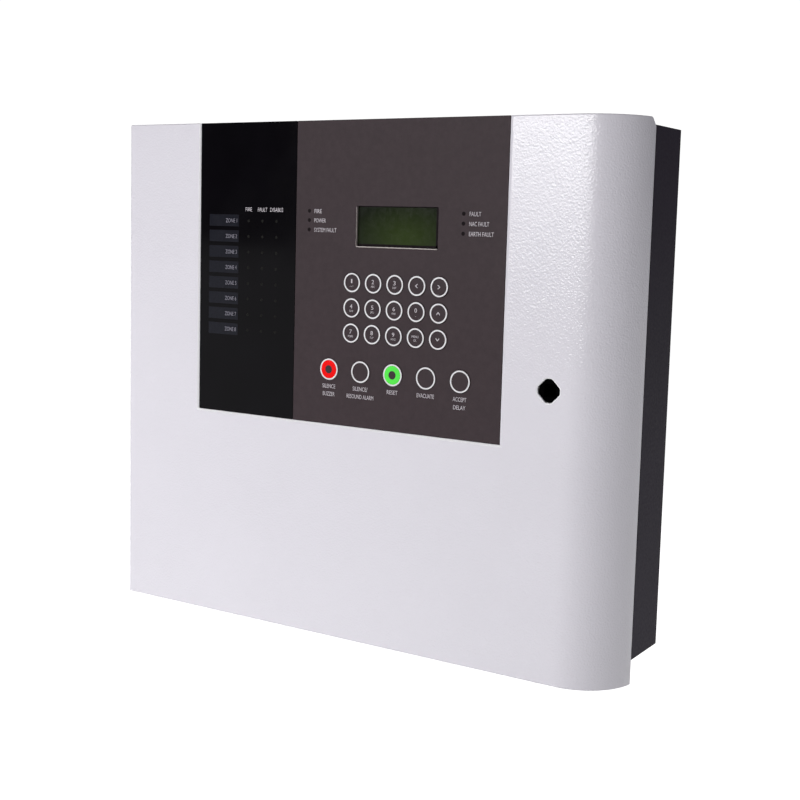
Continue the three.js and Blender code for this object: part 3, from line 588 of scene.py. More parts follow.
DOOR = {
    "sheet": 1.5, "fold": 1.6, "roll": 37.0, "flare": 1.2, "flare_right": 2.0, "recess": 0.9, "rim": 3.0,
    "relief_depth": 3.8, "relief_height": 4.9, "relief_width": 12.0,
}
LOCK_HOLE = {"reach": 7.3, "flat": 3.6, "round": 1.1, "cell": 9.9, "chamfer": 0.8, "chamfer_depth": 0.55}
FOLD_STEPS, ROLL_STEPS, HOLE_STEPS = 5, 28, 4
NOTCH_GAP = 0.3  # between the notch and the parts that fill it
NOTCH_REACH = 2.5  # how far from the notch its sloping edge is looked for
LOCK_REACH = 9.5  # likewise from the middle of the lock hole
CREASE = 22  # an edge that bends by fewer degrees than this stays smooth
DOOR_EDGE, REAR_EDGE, FINE_EDGE = 0.9, 0.35, 0.14  # rounding of most edges, the rear ones, the openings'
NEAR = 0.1  # slack for finding places on the door


class DoorShell:
    """The door's folded and rolled pan: an outer and an inner skin with rims between them."""

    def __init__(self):
        self.left, self.front, self.bottom = low("door_shell")
        _, self.rear, self.top = high("door_shell")
        self.right = high("back_box").x
        self.ledge = self.front + DOOR["rim"]
        self.notch_left = low("zone_window").x - NOTCH_GAP
        self.notch_right = high("keypad_fascia").x + NOTCH_GAP
        self.notch_bottom = low("keypad_fascia").z - NOTCH_GAP
        self.relief_x = self.right - DOOR["relief_width"]
        slope = DOOR["relief_height"] / DOOR["relief_depth"]
        relief_y = self.rear - DOOR["relief_depth"]
        self.relief_ys = [relief_y, relief_y + DOOR["sheet"] / slope, self.rear]
        self.relief_zs = [self.top - slope * (y - relief_y) for y in self.relief_ys]
        self.lock = middle("lock_barrel")
        self.piece = Piece("door_shell_skin")
        self.points = {}

    def vertex(self, point):
        key = tuple(round(c, 4) for c in point)
        if key not in self.points:
            self.points[key] = self.piece.bm.verts.new(key)
        return self.points[key]

    def face(self, *points):
        self.piece.bm.faces.new([self.vertex(p) for p in points])

    def profile(self, inset):
        """Points (x, y) from the left rear edge round the front to the right rear edge."""
        fold = max(DOOR["fold"] - inset, 0.1)
        radius = DOOR["roll"] - inset
        depth = self.rear - self.front
        roll_x = self.right - math.sqrt(DOOR["roll"] ** 2 - (DOOR["roll"] - depth) ** 2)
        roll_y = self.front + DOOR["roll"]
        left, front = self.left + inset, self.front + inset
        points = [(left, self.rear)]
        for i in range(FOLD_STEPS + 1):
            a = math.pi + math.pi / 2 * i / FOLD_STEPS
            points.append((left + fold + fold * math.cos(a), front + fold + fold * math.sin(a)))
        flat = [
            self.notch_left - DOOR["flare"], self.notch_left, self.notch_right,
            self.notch_right + DOOR["flare_right"], self.lock.x - LOCK_HOLE["cell"],
            self.lock.x + LOCK_HOLE["cell"],
        ]
        points += [(x, front) for x in flat]
        last = math.asin((self.relief_ys[0] - roll_y) / radius)
        for i in range(ROLL_STEPS):
            a = -math.pi / 2 + (last + math.pi / 2) * i / ROLL_STEPS
            points.append((roll_x + radius * math.cos(a), roll_y + radius * math.sin(a)))
        for y in self.relief_ys:
            a = math.asin((y - roll_y) / radius)
            points.append((roll_x + radius * math.cos(a), y))
        return points

    def grid(self, inset):
        """Rows of (x, y, z) points over one skin, from its bottom to its top."""
        plan = self.profile(inset)
        cell = LOCK_HOLE["cell"]
        top = self.top - inset
        levels = [
            self.bottom + inset, self.notch_bottom - DOOR["flare"], self.notch_bottom,
            self.lock.z - cell, self.lock.z + cell, top,
        ]
        rows = [[(x, y, z) for x, y in plan] for z in levels]
        for i, z in zip((-3, -2, -1), self.relief_zs):
            x, y, _ = rows[-1][i]
            rows[-1][i] = (x, y, min(z, top))
        if not inset:
            for row in rows:
                for i, (x, y, z) in enumerate(row):
                    if x in (self.notch_left, self.notch_right) and z >= self.notch_bottom:
                        row[i] = (x, self.front + DOOR["recess"], z)
        return rows

    def skin(self, rows):
        """Faces over a grid, other than where the notch is; one cell has the lock hole in it."""
        cell = LOCK_HOLE["cell"]
        for row, after in zip(rows, rows[1:]):
            for i in range(len(row) - 1):
                a, b, c, d = row[i], row[i + 1], after[i + 1], after[i]
                if a[0] == self.notch_left and b[0] == self.notch_right and a[2] >= self.notch_bottom:
                    continue
                if abs(a[0] - (self.lock.x - cell)) < 1e-6 and abs(a[2] - (self.lock.z - cell)) < 1e-6:
                    self.lock_cell(a, b, c, d)
                elif c[1] > a[1] + NEAR and c[0] == self.notch_left and b[1] == a[1]:
                    self.face(a, b, c)
                    self.face(a, c, d)
                elif d[1] > a[1] + NEAR and d[0] == self.notch_right and c[1] == b[1]:
                    self.face(a, b, d)
                    self.face(b, c, d)
                else:
                    self.face(a, b, c, d)

    def hole(self, y):
        """The lock hole, a square on its corner with its corners cut off: a run of points per corner."""
        grow = LOCK_HOLE["chamfer"] if y == self.front else 0
        reach = LOCK_HOLE["reach"] + grow
        half = LOCK_HOLE["flat"] / 2 + grow * math.tan(math.pi / 8)
        side = (reach + half) / 2
        runs = []
        for quarter in range(4):
            turn = Matrix.Rotation(math.pi / 2 * quarter, 2)
            run = [Vector((side, -side))]
            for vertex, before, after in (
                (Vector((reach, -half)), Vector((-1, -1)), Vector((0, 1))),
                (Vector((reach, half)), Vector((0, -1)), Vector((-1, 1))),
            ):
                start = vertex + before.normalized() * LOCK_HOLE["round"]
                end = vertex + after.normalized() * LOCK_HOLE["round"]
                for i in range(HOLE_STEPS + 1):
                    t = i / HOLE_STEPS
                    run.append(start * (1 - t) ** 2 + vertex * 2 * t * (1 - t) + end * t ** 2)
            run.append(Vector((side, side)))
            turned = [turn @ p for p in run]
            runs.append([(self.lock.x + p.x, y, self.lock.z + p.y) for p in turned])
        return runs

    def lock_cell(self, lower_left, lower_right, upper_right, upper_left):
        corners = [lower_right, upper_right, upper_left, lower_left]
        for quarter, run in enumerate(self.hole(lower_left[1])):
            self.face(corners[quarter], corners[(quarter + 1) % 4], *reversed(run))

    def rims(self, outer, inner):
        """The left and right rear edges, the bottom edge, and the lock hole with its chamfer."""
        for end in (0, -1):
            edge = [(row[end], within[end]) for row, within in zip(outer, inner)]
            for (a, b), (c, d) in zip(edge, edge[1:]):
                self.face(a, c, d, b)
        self.face(outer[0][0], outer[0][-1], inner[0][-1], inner[0][0])
        levels = [self.hole(self.front + y) for y in (0, LOCK_HOLE["chamfer_depth"], DOOR["sheet"])]
        for level, deeper in zip(levels, levels[1:]):
            for run, within in zip(level, deeper):
                for i in range(len(run) - 1):
                    self.face(run[i], run[i + 1], within[i + 1], within[i])

    def notch_rims(self, outer, inner):
        """The notch's edges, and the bridge that crosses it at the top behind the display's parts."""
        ledge = self.ledge
        xs = [p[0] for p in outer[-1]]
        l, r = xs.index(self.notch_left), xs.index(self.notch_right)
        self.face(outer[2][l], outer[2][r], inner[2][r], inner[2][l])
        for i in (l, r):
            for k in (2, 3):
                self.face(outer[k][i], outer[k + 1][i], inner[k + 1][i], inner[k][i])
            x = xs[i]
            self.face(
                outer[4][i], outer[5][i], (x, ledge, self.top), (x, ledge, self.top - DOOR["sheet"]),
                inner[5][i], inner[4][i],
            )
        x0, x1 = self.notch_left, self.notch_right
        upper, lower = self.top, self.top - DOOR["sheet"]
        self.face((x0, ledge, upper), (x1, ledge, upper), (x1, ledge, lower), (x0, ledge, lower))

    def caps(self, outer, inner):
        """The bottom and top folds, and the sloping relief at the top right rear corner."""
        self.face(*outer[0])
        self.face(*reversed(inner[0]))
        for rows, z in ((outer, self.top), (inner, self.top - DOOR["sheet"])):
            path = []
            for x, y, height in rows[-1]:
                if height < z - 1e-6:
                    break
                if x == self.notch_right:
                    path += [(self.notch_left, self.ledge, z), (self.notch_right, self.ledge, z)]
                path.append((x, y, height))
            y = path[-1][1]
            path += [(self.relief_x, y, z), (self.relief_x, self.rear, z)]
            self.face(*path)
        upper, lower = self.top, self.top - DOOR["sheet"]
        y0, y1 = self.relief_ys[:2]
        x = self.relief_x
        self.face((x, y0, upper), (x, y1, lower), (x, self.rear, lower), (x, self.rear, upper))
        self.face(
            (x, y0, upper), outer[-1][-3], outer[-1][-2], outer[-1][-1],
            inner[-1][-1], inner[-1][-2], (x, y1, lower),
        )
        self.face(outer[-1][0], (x, self.rear, upper), (x, self.rear, lower), inner[-1][0])

    def by_lock(self, points):
        return all((p.xz - self.lock.xz).length < LOCK_REACH for p in points)

    def by_notch(self, points, depth):
        """Whether points lie no deeper than this in the notch's stretch of the door's width."""
        return all(
            p.y < self.front + depth
            and self.notch_left - NOTCH_REACH < p.x < self.notch_right + NOTCH_REACH for p in points
        )

    def edge_width(self, edge):
        """How wide an edge is rounded, in millimetres."""
        if len(edge.link_faces) != 2 or edge.calc_face_angle(0) < math.radians(CREASE):
            return 0
        ends = [v.co for v in edge.verts]
        at_notch = self.by_notch(ends, DOOR["rim"] + NEAR) and min(p.z for p in ends) > self.notch_bottom - 2
        if at_notch or self.by_lock(ends):
            return FINE_EDGE
        if all(
            p.y > self.front + DOOR["sheet"] - NEAR and self.left + 1 < p.x < self.right - 0.4
            and self.bottom + 1 < p.z < self.top - 1 for p in ends
        ):
            return 0
        return REAR_EDGE if min(p.y for p in ends) > self.rear - NEAR else DOOR_EDGE

    def build(self):
        outer, inner = self.grid(0), self.grid(DOOR["sheet"])
        self.skin(outer)
        self.skin(inner)
        self.rims(outer, inner)
        self.notch_rims(outer, inner)
        self.caps(outer, inner)
        bm = self.piece.bm
        bmesh.ops.recalc_face_normals(bm, faces=bm.faces[:])
        bm.normal_update()
        loose = [e for e in bm.edges if len(e.link_faces) != 2]
        if loose:
            where = [tuple(v.co) for v in loose[0].verts]
            raise ValueError(f"door shell has {len(loose)} open edges, such as {where}")
        widths = bm.edges.layers.float.new("bevel_weight_edge")
        for edge in bm.edges:
            edge[widths] = self.edge_width(edge) / DOOR_EDGE
        self.piece.index(DOOR_PAINT)
        # Sloping faces by the notch and the lock hole get the whiter paint, a painted highlight.
        highlight_index = self.piece.index(DOOR_EDGE_HIGHLIGHT)
        for face in bm.faces:
            points = [v.co for v in face.verts]
            sloping = 0.1 < abs(face.normal.y) < 0.9
            if sloping and (self.by_notch(points, DOOR["recess"] + 0.01) or self.by_lock(points)):
                face.material_index = highlight_index
        thing = self.piece.place("door", "door_paint", replaces=["door_shell"], smooth=CREASE)
        modifier(
            thing, "BEVEL", "soft_edges", width=DOOR_EDGE * MM, segments=4, limit_method="WEIGHT",
            harden_normals=True, use_clamp_overlap=False, miter_outer="MITER_SHARP",
        )


# ---------------------------------------------------------------- CAD nodes that keep their own mesh

LEAVES = ["box_hinge_leaf_upper", "door_hinge_leaf_upper", "box_hinge_leaf_lower", "door_hinge_leaf_lower"]
FINISHES = [  # material, rounding of the edges, steps of the rounding, nodes
    (BOX_PAINT, 0.5, 3, ["back_box"]),
    (ZINC, 0.15, 3, LEAVES),
    (STEEL, 0.3, 3, ["hinge_pin_upper", "hinge_pin_lower"]),
    (RUBBER, 0.3, 3, ["cable_grommet_left", "cable_grommet_right"]),
    (ZINC, 0.2, 3, ["chassis_plate", "battery_shelf", "battery_retainer", "lock_housing", "lock_tongue"]),
    (LOCK_BLACK_AND_SHADE, 0.3, 3, ["lock_barrel"]),
    (SMOKED, 0.15, 3, ["zone_window"]),
    (BLACK, 0.2, 3, ["display_frame", "led_block", "lcd_module"]),
    (BLACK, 0.3, 3, ["ribbon_plug_main", "ribbon_plug_display", "buzzer"]),
    (BOARD, 0, 0, ["display_board", "main_board"]),
    (CARD, 0, 0, ["zone_label_card"]),
    (TERMINAL_GREEN, 0.15, 2, ["zone_terminals", "sounder_terminals"]),
    (WHITE, 0.3, 2, ["mains_terminals"]),
    (ZINC, 0.6, 3, ["power_supply"]),
    (BRASS, 0.2, 3, ["earth_stud"]),
    (BATTERY_CASE, 0.5, 3, ["battery_left", "battery_right"]),
    (RED_WIRE, 0, 0, ["battery_link"]),
]


def finish_nodes():
    for material, bevel, segments, names in FINISHES:
        for name in names:
            finish_node(name, material, bevel, segments)


# ---------------------------------------------------------------- zone window

HEADINGS = [("FIRE", 5.4), ("FAULT", 8.0), ("DISABLE", 10.8)]
HEADING_RISE = 7.7  # how far the headings stand above the first zone
LABEL = {"left": -117.9, "right": -92.2, "height": 7.9, "corner": 0.4, "margin": 1.5, "words": 9.8}
PRINT = 0.03  # how far ink stands out from what it is printed on
PRINT_HEIGHT = 2.8


def zone_window_print():
    y = low("zone_window").y
    half = LABEL["height"] / 2
    labels = Piece("zone_window_print")
    for number, z in enumerate(ZONE_ZS, 1):
        outline = rounded(LABEL["left"], LABEL["right"], z - half, z + half, LABEL["corner"])
        labels.plate(outline, y - PRINT, y + PRINT, LABEL_WINDOW)
        x, width = LABEL["right"] - LABEL["margin"], LABEL["words"]
        labels.text(f"ZONE {number}", x, z, y - 2 * PRINT, PRINT_HEIGHT, DIM_INK, width, "RIGHT")
        for x in LED_XS:
            labels.turned([(0.95, 0), (0.95, -PRINT), (0.7, -2 * PRINT)], (x, y, z), LAMP_SMOKED)
    for x, (words, width) in zip(LED_XS, HEADINGS):
        labels.text(words, x, ZONE_TOP_Z + HEADING_RISE, y - PRINT, PRINT_HEIGHT, GREY_INK, width)
    labels.place("door", "smoked_window")


# ---------------------------------------------------------------- keypad fascia

LAMP_ZS = [106.3, 100.3, 94.2]
LAMP_WORDS = {
    -33.1: [("FIRE", 5.8), ("POWER", 9.2), ("SYSTEM FAULT", 17.6)],
    82.7: [("FAULT", 8.0), ("NAC FAULT", 13.6), ("EARTH FAULT", 17.0)],
}
CAPTIONS = {
    "button_silence_buzzer": [("SILENCE", 10.2), ("BUZZER", 9.4)],
    "button_sounders": [("SILENCE/", 11.4), ("RESOUND ALARM", 20.8)],
    "button_reset": [("RESET", 8.0)],
    "button_evacuate": [("EVACUATE", 12.6)],
    "button_delay": [("ACCEPT", 9.6), ("DELAY", 8.6)],
}
CAPTION_DROP, CAPTION_PITCH = 11.0, 5.1
LAMP_GAP = 4.1  # from a lamp to its words
BUTTONS = list(CAPTIONS)
BUTTON_FILLS = {"button_silence_buzzer": RED_INK, "button_reset": GREEN_INK}
KEY_LETTERS = {
    "1": ".,-", "2": "ABC", "3": "DEF", "4": "GHI", "5": "JKL", "6": "MNO",
    "7": "PQRS", "8": "TUV", "9": "WXYZ", "0": "_",
}
ARROWS = {"key_left": (-1, 0), "key_right": (1, 0), "key_up": (0, 1), "key_down": (0, -1)}
KEYS = [f"key_{digit}" for digit in KEY_LETTERS] + list(ARROWS) + ["key_menu"]
KEY_CAP, KEY_RING = 6.75, 5.73  # radii of the cap and of the ring printed on it
BUTTON_CAP, BUTTON_RING = 7.5, 6.51
RING_STROKE = 0.95
CAP_DOME = 0.3
HOLE_GAP, HOLE_SIDES = 0.1, 72
PLATE_EDGE = 0.12  # how far the printed plate's edges are rounded


def fascia_plate():
    """The printed front plate, with a round hole for each cap and the display's opening."""
    lo, hi = low("keypad_fascia"), high("keypad_fascia")
    half_w, half_h = LCD_WIDTH / 2, LCD_HEIGHT / 2
    outlines = [
        rounded(lo.x, hi.x, lo.z, hi.z, 0.5),
        rounded(KEYPAD_X - half_w, KEYPAD_X + half_w, LCD_Z - half_h, LCD_Z + half_h, 1.0),
    ]
    for names, radius in ((KEYS, KEY_CAP), (BUTTONS, BUTTON_CAP)):
        for centre in map(middle, names):
            hole = circle(radius + HOLE_GAP, HOLE_SIDES)
            outlines.append([(centre.x + u, centre.z + v) for u, v in hole])
    curve = bpy.data.curves.new("keypad_fascia_plate", "CURVE")
    curve.dimensions = "2D"
    curve.fill_mode = "BOTH"
    for outline in outlines:
        spline = curve.splines.new("POLY")
        spline.points.add(len(outline) - 1)
        for point, (x, z) in zip(spline.points, outline):
            point.co = (x * MM, z * MM, 0, 1)
        spline.use_cyclic_u = True
    curve.extrude = ((hi.y - lo.y) / 2 - PLATE_EDGE) * MM
    curve.bevel_depth = PLATE_EDGE * MM
    curve.bevel_resolution = 2
    curve.offset = -PLATE_EDGE * MM
    holder = bpy.data.objects.new("keypad_fascia_curve", curve)
    mesh = bpy.data.meshes.new_from_object(holder)
    bpy.data.objects.remove(holder)
    middle_y = (lo.y + hi.y) / 2 * MM
    mesh.transform(Matrix.Translation((0, middle_y, 0)) @ Matrix.Rotation(math.pi / 2, 4, "X"))
    mesh.materials.clear()
    mesh.materials.append(FASCIA)
    shade(mesh, 40)
    hand_over("keypad_fascia_plate", mesh, "door", "fascia_print", ["keypad_fascia"])


def fascia_print_layer():
    layer = Piece("keypad_fascia_print")
    y = FASCIA_FRONT
    for x, lamps in LAMP_WORDS.items():
        for z, (words, width) in zip(LAMP_ZS, lamps):
            layer.turned([(1.25, 0), (1.2, -PRINT), (0.6, -3 * PRINT)], (x, y, z), LAMP_DARK)
            layer.text(words, x + LAMP_GAP, z, y - PRINT, PRINT_HEIGHT, GREY_INK, width, "LEFT")
    for button, lines in CAPTIONS.items():
        centre = middle(button)
        for i, (words, width) in enumerate(lines):
            z = centre.z - CAPTION_DROP - i * CAPTION_PITCH
            layer.text(words, centre.x, z, y - PRINT, PRINT_HEIGHT, GREY_INK, width)
    layer.place("door", "fascia_print")


def arrow(piece, centre, direction, y):
    """A small chevron that points along (x, z)."""
    dx, dz = direction
    reach, spread, stroke, shift = 0.7, 1.25, 0.75, 0.3
    tip = Vector((dx, dz)) * reach
    side = Vector((-dz, dx)) * spread
    inner = Vector((dx, dz)) * stroke
    outline = [tip, side - tip, side - tip - inner, tip - inner, -tip - side - inner, -tip - side]
    outline = [(centre.x + p.x + dx * shift, centre.z + p.y + dz * shift) for p in outline]
    for half in ([0, 1, 2, 3], [0, 3, 4, 5]):
        piece.plate([outline[i] for i in half], y - PRINT, y, GREY_INK)


def cap(name, radius, ring):
    """A round cap with a low dome in its middle and a white printed ring round the dome."""
    centre = middle(name)
    top, rear = low(name).y, high(name).y
    inner, outer = ring - RING_STROKE / 2, ring + RING_STROKE / 2
    foot = inner - 0.35
    piece = Piece(f"{name}_cap")
    piece.turned([
        (radius, rear - top), (radius, 0.32), (radius - 0.08, 0.12), (radius - 0.3, 0.0), (foot, 0.0),
        (foot - 0.5, -CAP_DOME * 0.45), (foot - 1.2, -CAP_DOME * 0.85), (foot - 2.2, -CAP_DOME),
        (0, -CAP_DOME),
    ], (centre.x, top, centre.z), FASCIA, sides=64)
    front, back = top - PRINT, top + PRINT
    section = [(inner, front), (outer, front), (outer, back), (inner, back)]
    piece.band(centre.x, centre.z, section, WHITE_INK)
    return piece, centre, top - CAP_DOME


def make_keys():
    for name in KEYS:
        piece, centre, y = cap(name, KEY_CAP, KEY_RING)
        label = name.removeprefix("key_")
        if name in ARROWS:
            arrow(piece, centre, ARROWS[name], y)
            lines = []
        elif label in KEY_LETTERS:
            letters = KEY_LETTERS[label]
            digit_width = 0.9 if label == "1" else 1.8
            lines = [(label, 1.1, 2.8, digit_width), (letters, -1.9, 1.3, 0.95 * len(letters))]
        else:
            lines = [("MENU", 0.9, 1.6, 5.0), ("OK", -1.5, 1.6, 2.2)]
        for words, rise, height, width in lines:
            piece.text(words, centre.x, centre.z + rise, y - PRINT, height, GREY_INK, width)
        piece.place(name, "fascia_print", replaces=[name])


def make_buttons():
    """Two of the buttons have a coloured band that follows the dome, just over its surface."""
    outer = BUTTON_RING - RING_STROKE / 2 - 0.08
    line = [(outer, -PRINT), (outer - 0.9, -0.2), (outer - 1.9, -CAP_DOME), (2.7, -CAP_DOME - PRINT)]
    for name in BUTTONS:
        piece, centre, y = cap(name, BUTTON_CAP, BUTTON_RING)
        if name in BUTTON_FILLS:
            top = y + CAP_DOME
            section = [(radius, top + rise - PRINT) for radius, rise in line]
            section += [(radius, top + rise + PRINT) for radius, rise in reversed(line)]
            piece.band(centre.x, centre.z, section, BUTTON_FILLS[name])
        piece.place(name, "fascia_print", replaces=[name])


def make_display():
    """The glass behind the opening, its dark borders at the right and bottom, a dark strip of painted shadow
    along the top, and the pale edge that shows at two sides.
    """
    lo, hi = low("lcd_window"), high("lcd_window")
    left, right = KEYPAD_X - LCD_WIDTH / 2, KEYPAD_X + LCD_WIDTH / 2
    bottom, top = LCD_Z - LCD_HEIGHT / 2, LCD_Z + LCD_HEIGHT / 2
    pane = Piece("lcd_pane")
    pane.plate(rounded(lo.x, hi.x, lo.z, hi.z, 1.0), lo.y, hi.y, LCD_GLASS)
    at_right, at_bottom, top_shadow, depth = 2.6, 2.3, 0.55, 0.1
    # The top strip is a dark sheet standing in for the shadow the opening casts on the glass: painted shadow.
    # The right and bottom strips are the display's dark border.
    for x0, z0, z1 in (
        (right - at_right, lo.z, hi.z), (lo.x, lo.z, bottom + at_bottom), (lo.x, top - top_shadow, hi.z),
    ):
        pane.block(x0, hi.x, lo.y - PRINT, lo.y + depth, z0, z1, LAMP_DARK, bevel=0)
    pane.place("door", "lcd_glass", replaces=["lcd_window"])

    liner = Piece("lcd_opening_edge")
    radius, ledge, side = 0.95, 0.55, 0.2
    front, rear = FASCIA_FRONT + 0.08, FASCIA_REAR
    liner.block(left, left + side, front, rear, bottom + 0.6, top - 0.3, LINER, bevel=0.05)
    liner.block(left + 0.6, right - 0.6, front, rear, bottom, bottom + ledge, LINER, bevel=0.05)
    turns = [math.radians(90 * i / 6) for i in range(7)]
    x, z = left + radius, bottom + radius
    corner = [(x - radius * math.cos(a), z - radius * math.sin(a)) for a in turns]
    corner += [
        (x - (radius - side) * math.cos(a), z - (radius - ledge) * math.sin(a)) for a in reversed(turns)
    ]
    liner.plate(corner, front, rear, LINER)
    liner.place("door", "lcd_glass")


# ---------------------------------------------------------------- inside

SIDES = (-1, 1)
FIELD_PITCH, PIN_PITCH = 5.08, 2.54
LOW_VOLTAGE_ROWS = {"zone_terminals": 24, "sounder_terminals": 12}
MAINS_WAYS = 4
WELL_SHARE = 0.325  # how far up its terminal row a well's middle lies
SCREW_SHARE, SCREW_DEPTH = 0.27, 1.4  # radius as a share of the row's pitch, and depth down the well
JOINTS = {  # solder joints, as (radius, height) from the board outwards
    "key": [(0.75, 0), (0.7, 0.25), (0.25, 0.8)],
    "lamp": [(0.6, 0), (0.5, 0.25), (0.2, 0.7)],
    "pin": [(0.8, 0), (0.7, 0.3), (0.25, 1.2)],
}
KNUCKLE, LEAF = 3.2, 1.5  # radius of a hinge's knuckle and thickness of its leaves
CASE_DROP = 7  # how far a battery's terminals stand above its case
LABEL_WIDTH = 112


class Board:
    """Small parts that stand on a flat face looking along Y; out is -1 to the front, +1 to the rear."""

    def __init__(self, name, y, out):
        self.piece = Piece(name)
        self.y = y
        self.out = out

    def block(self, x, z, width, height, depth, material, bevel=0.25, lift=0.0):
        near = self.y + self.out * lift
        far = near + self.out * depth
        self.piece.block(
            x - width / 2, x + width / 2, min(near, far), max(near, far),
            z - height / 2, z + height / 2, material, bevel,
        )

    def round(self, x, z, profile, material, sides=24):
        """The profile holds (radius, height above the face), from the face outwards."""
        self.piece.turned([(r, self.out * h) for r, h in profile], (x, self.y, z), material, sides=sides)

    def rod(self, x, z, lift, profile, material, sides=20):
        """A round form along X with its axis lifted off the face; the profile is one half of it."""
        mirrored = [(radius, -along) for radius, along in reversed(profile)]
        place = (x, self.y + self.out * lift, z)
        self.piece.turned(mirrored + profile, place, material, axis="x", sides=sides)

    def screws(self, xs, zs, radius=3.0, height=2.0):
        """Cross-head screws at every x and z."""
        profile = [
            (radius, 0), (radius, height * 0.45), (radius * 0.85, height * 0.8),
            (radius * 0.5, height * 0.97), (0, height),
        ]
        wide, thin = radius * 1.1, radius * 0.24
        for x in xs:
            for z in zs:
                self.round(x, z, profile, STEEL)
                for size in ((wide, thin), (thin, wide)):
                    self.block(x, z, *size, 0.12, BLACK, bevel=0, lift=height * 0.93)

    def solder(self, x, z, kind):
        self.round(x, z, JOINTS[kind], TIN, sides=10)

    def slotted(self, x, z, radius, top, turn):
        """A screw down in a terminal's well, with a slot turned a little."""
        self.round(x, z, [(radius, -2.9), (radius, top - 0.2), (radius - 0.2, top)], TIN, sides=20)
        c, s = math.cos(turn), math.sin(turn)
        half, thin = radius * 0.86, radius * 0.16
        corners = [(-half, -thin), (half, -thin), (half, thin), (-half, thin)]
        outline = [(x + u * c - v * s, z + u * s + v * c) for u, v in corners]
        y = self.y + self.out * top
        self.piece.plate(outline, y - 0.04, y + 0.04, BLACK)

    def chip(self, x, z, width, height, depth, pins, four_sides=False):
        self.block(x, z, width, height, depth, BLACK, bevel=0.2, lift=0.3)
        mark = [(0.5, 0), (0.5, depth + 0.33)]
        self.round(x - width / 2 + 1.6, z + height / 2 - 1.6, mark, LAMP_SMOKED, 16)
        pitch = width / (pins + 0.5)
        for i in range(pins):
            along = (i - (pins - 1) / 2) * pitch
            for side in SIDES:
                self.block(x + along, z + side * (height / 2 + 0.6), pitch * 0.42, 1.6, 0.45, TIN, bevel=0)
                if four_sides:
                    spot = z + along * height / width
                    self.block(x + side * (width / 2 + 0.6), spot, 1.6, pitch * 0.42, 0.45, TIN, bevel=0)

    def capacitor(self, x, z, radius, height):
        self.round(x, z, [
            (radius * 0.94, 0), (radius, 0.5), (radius, 1.4), (radius * 0.93, 1.9), (radius, 2.4),
            (radius, height - 0.7), (radius * 0.93, height),
        ], CAN_SLEEVE, sides=28)
        self.round(x, z, [(radius * 0.86, height - 1), (radius * 0.86, height + 0.05)], TIN, sides=28)
        for size in ((0.25, radius * 1.4), (radius * 1.4, 0.25)):
            self.block(x, z, *size, 0.06, BLACK, bevel=0, lift=height + 0.04)

    def relay(self, x, z):
        self.block(x, z, 15.2, 19, 14.5, RELAY_BLUE, bevel=0.7)
        self.block(x, z, 11, 14, 0.12, CARD, bevel=0, lift=14.48)

    def chip_resistor(self, x, z, upright=True, body=BLACK):
        width, height = (1.3, 2.2) if upright else (2.2, 1.3)
        self.block(x, z, width, height, 0.55, body, bevel=0)
        for side in SIDES:
            dx, dz = (0, side * 1.1) if upright else (side * 1.1, 0)
            size = (width, 0.6) if upright else (0.6, height)
            self.block(x + dx, z + dz, *size, 0.62, TIN, bevel=0)

    def axial_resistor(self, x, z, length):
        half = length / 2
        self.rod(x, z, 1.3, [(0.9, half - 1.4), (1.15, half - 0.5), (0.8, half)], RESISTOR, sides=14)
        self.rod(x, z, 1.3, [(0.3, half + 1.8)], TIN, sides=8)
        for side in SIDES:
            self.round(x + side * (half + 1.8), z, [(0.32, 0), (0.32, 1.5)], TIN, sides=8)


def terminal_screws():
    """A slotted screw down each well of the three terminal rows."""
    for node, ways in (*LOW_VOLTAGE_ROWS.items(), ("mains_terminals", MAINS_WAYS)):
        lo, hi = low(node), high(node)
        pitch = (hi.x - lo.x) / ways
        well_z = lo.z + (hi.z - lo.z) * WELL_SHARE
        row = Board(f"{node}_screws", lo.y, -1)
        for way in range(ways):
            x, radius = lo.x + (way + 0.5) * pitch, pitch * SCREW_SHARE
            row.slotted(x, well_z, radius, -SCREW_DEPTH, turn=0.5 + way * 0.9)
        row.piece.place("cabinet", "zinc_plate")


def zone_parts(board):
    """Two resistors behind each zone terminal, other than at the ribbon's plug, and some diodes."""
    zones = low("zone_terminals")
    for way in range(LOW_VOLTAGE_ROWS["zone_terminals"]):
        x = zones.x + (way + 0.5) * FIELD_PITCH
        if low("ribbon_plug_main").x - 4 < x < high("ribbon_plug_main").x + 4:
            continue
        board.chip_resistor(x, zones.z - 5)
        board.chip_resistor(x, zones.z - 9.5, body=RESISTOR)
        if way % 3 == 0:
            board.block(x + 2.5, zones.z - 15, 3.8, 2.6, 1.4, BLACK, bevel=0.15)


def sounder_parts(board):
    sounders = low("sounder_terminals")
    for i in range(4):
        x = sounders.x + 8 + i * 16.4
        board.relay(x, sounders.z - 16)
        board.chip_resistor(x - 3, sounders.z - 29, upright=False)
        board.chip_resistor(x + 3, sounders.z - 29, upright=False, body=RESISTOR)


def board_fuses(board):
    z, lift = -30, 7.5
    for x in (8, 38):
        board.block(x, z, 22, 9, 3, BLACK, bevel=0.3)
        for side in SIDES:
            board.block(x + side * 7.5, z, 2.6, 5.6, 7.5, BRASS, bevel=0.3, lift=2.6)
        board.rod(x, z, lift, [(2.5, 9.2), (2.3, 9.5)], TIN)
        board.rod(x, z, lift, [(2.55, 4.6)], CARD)


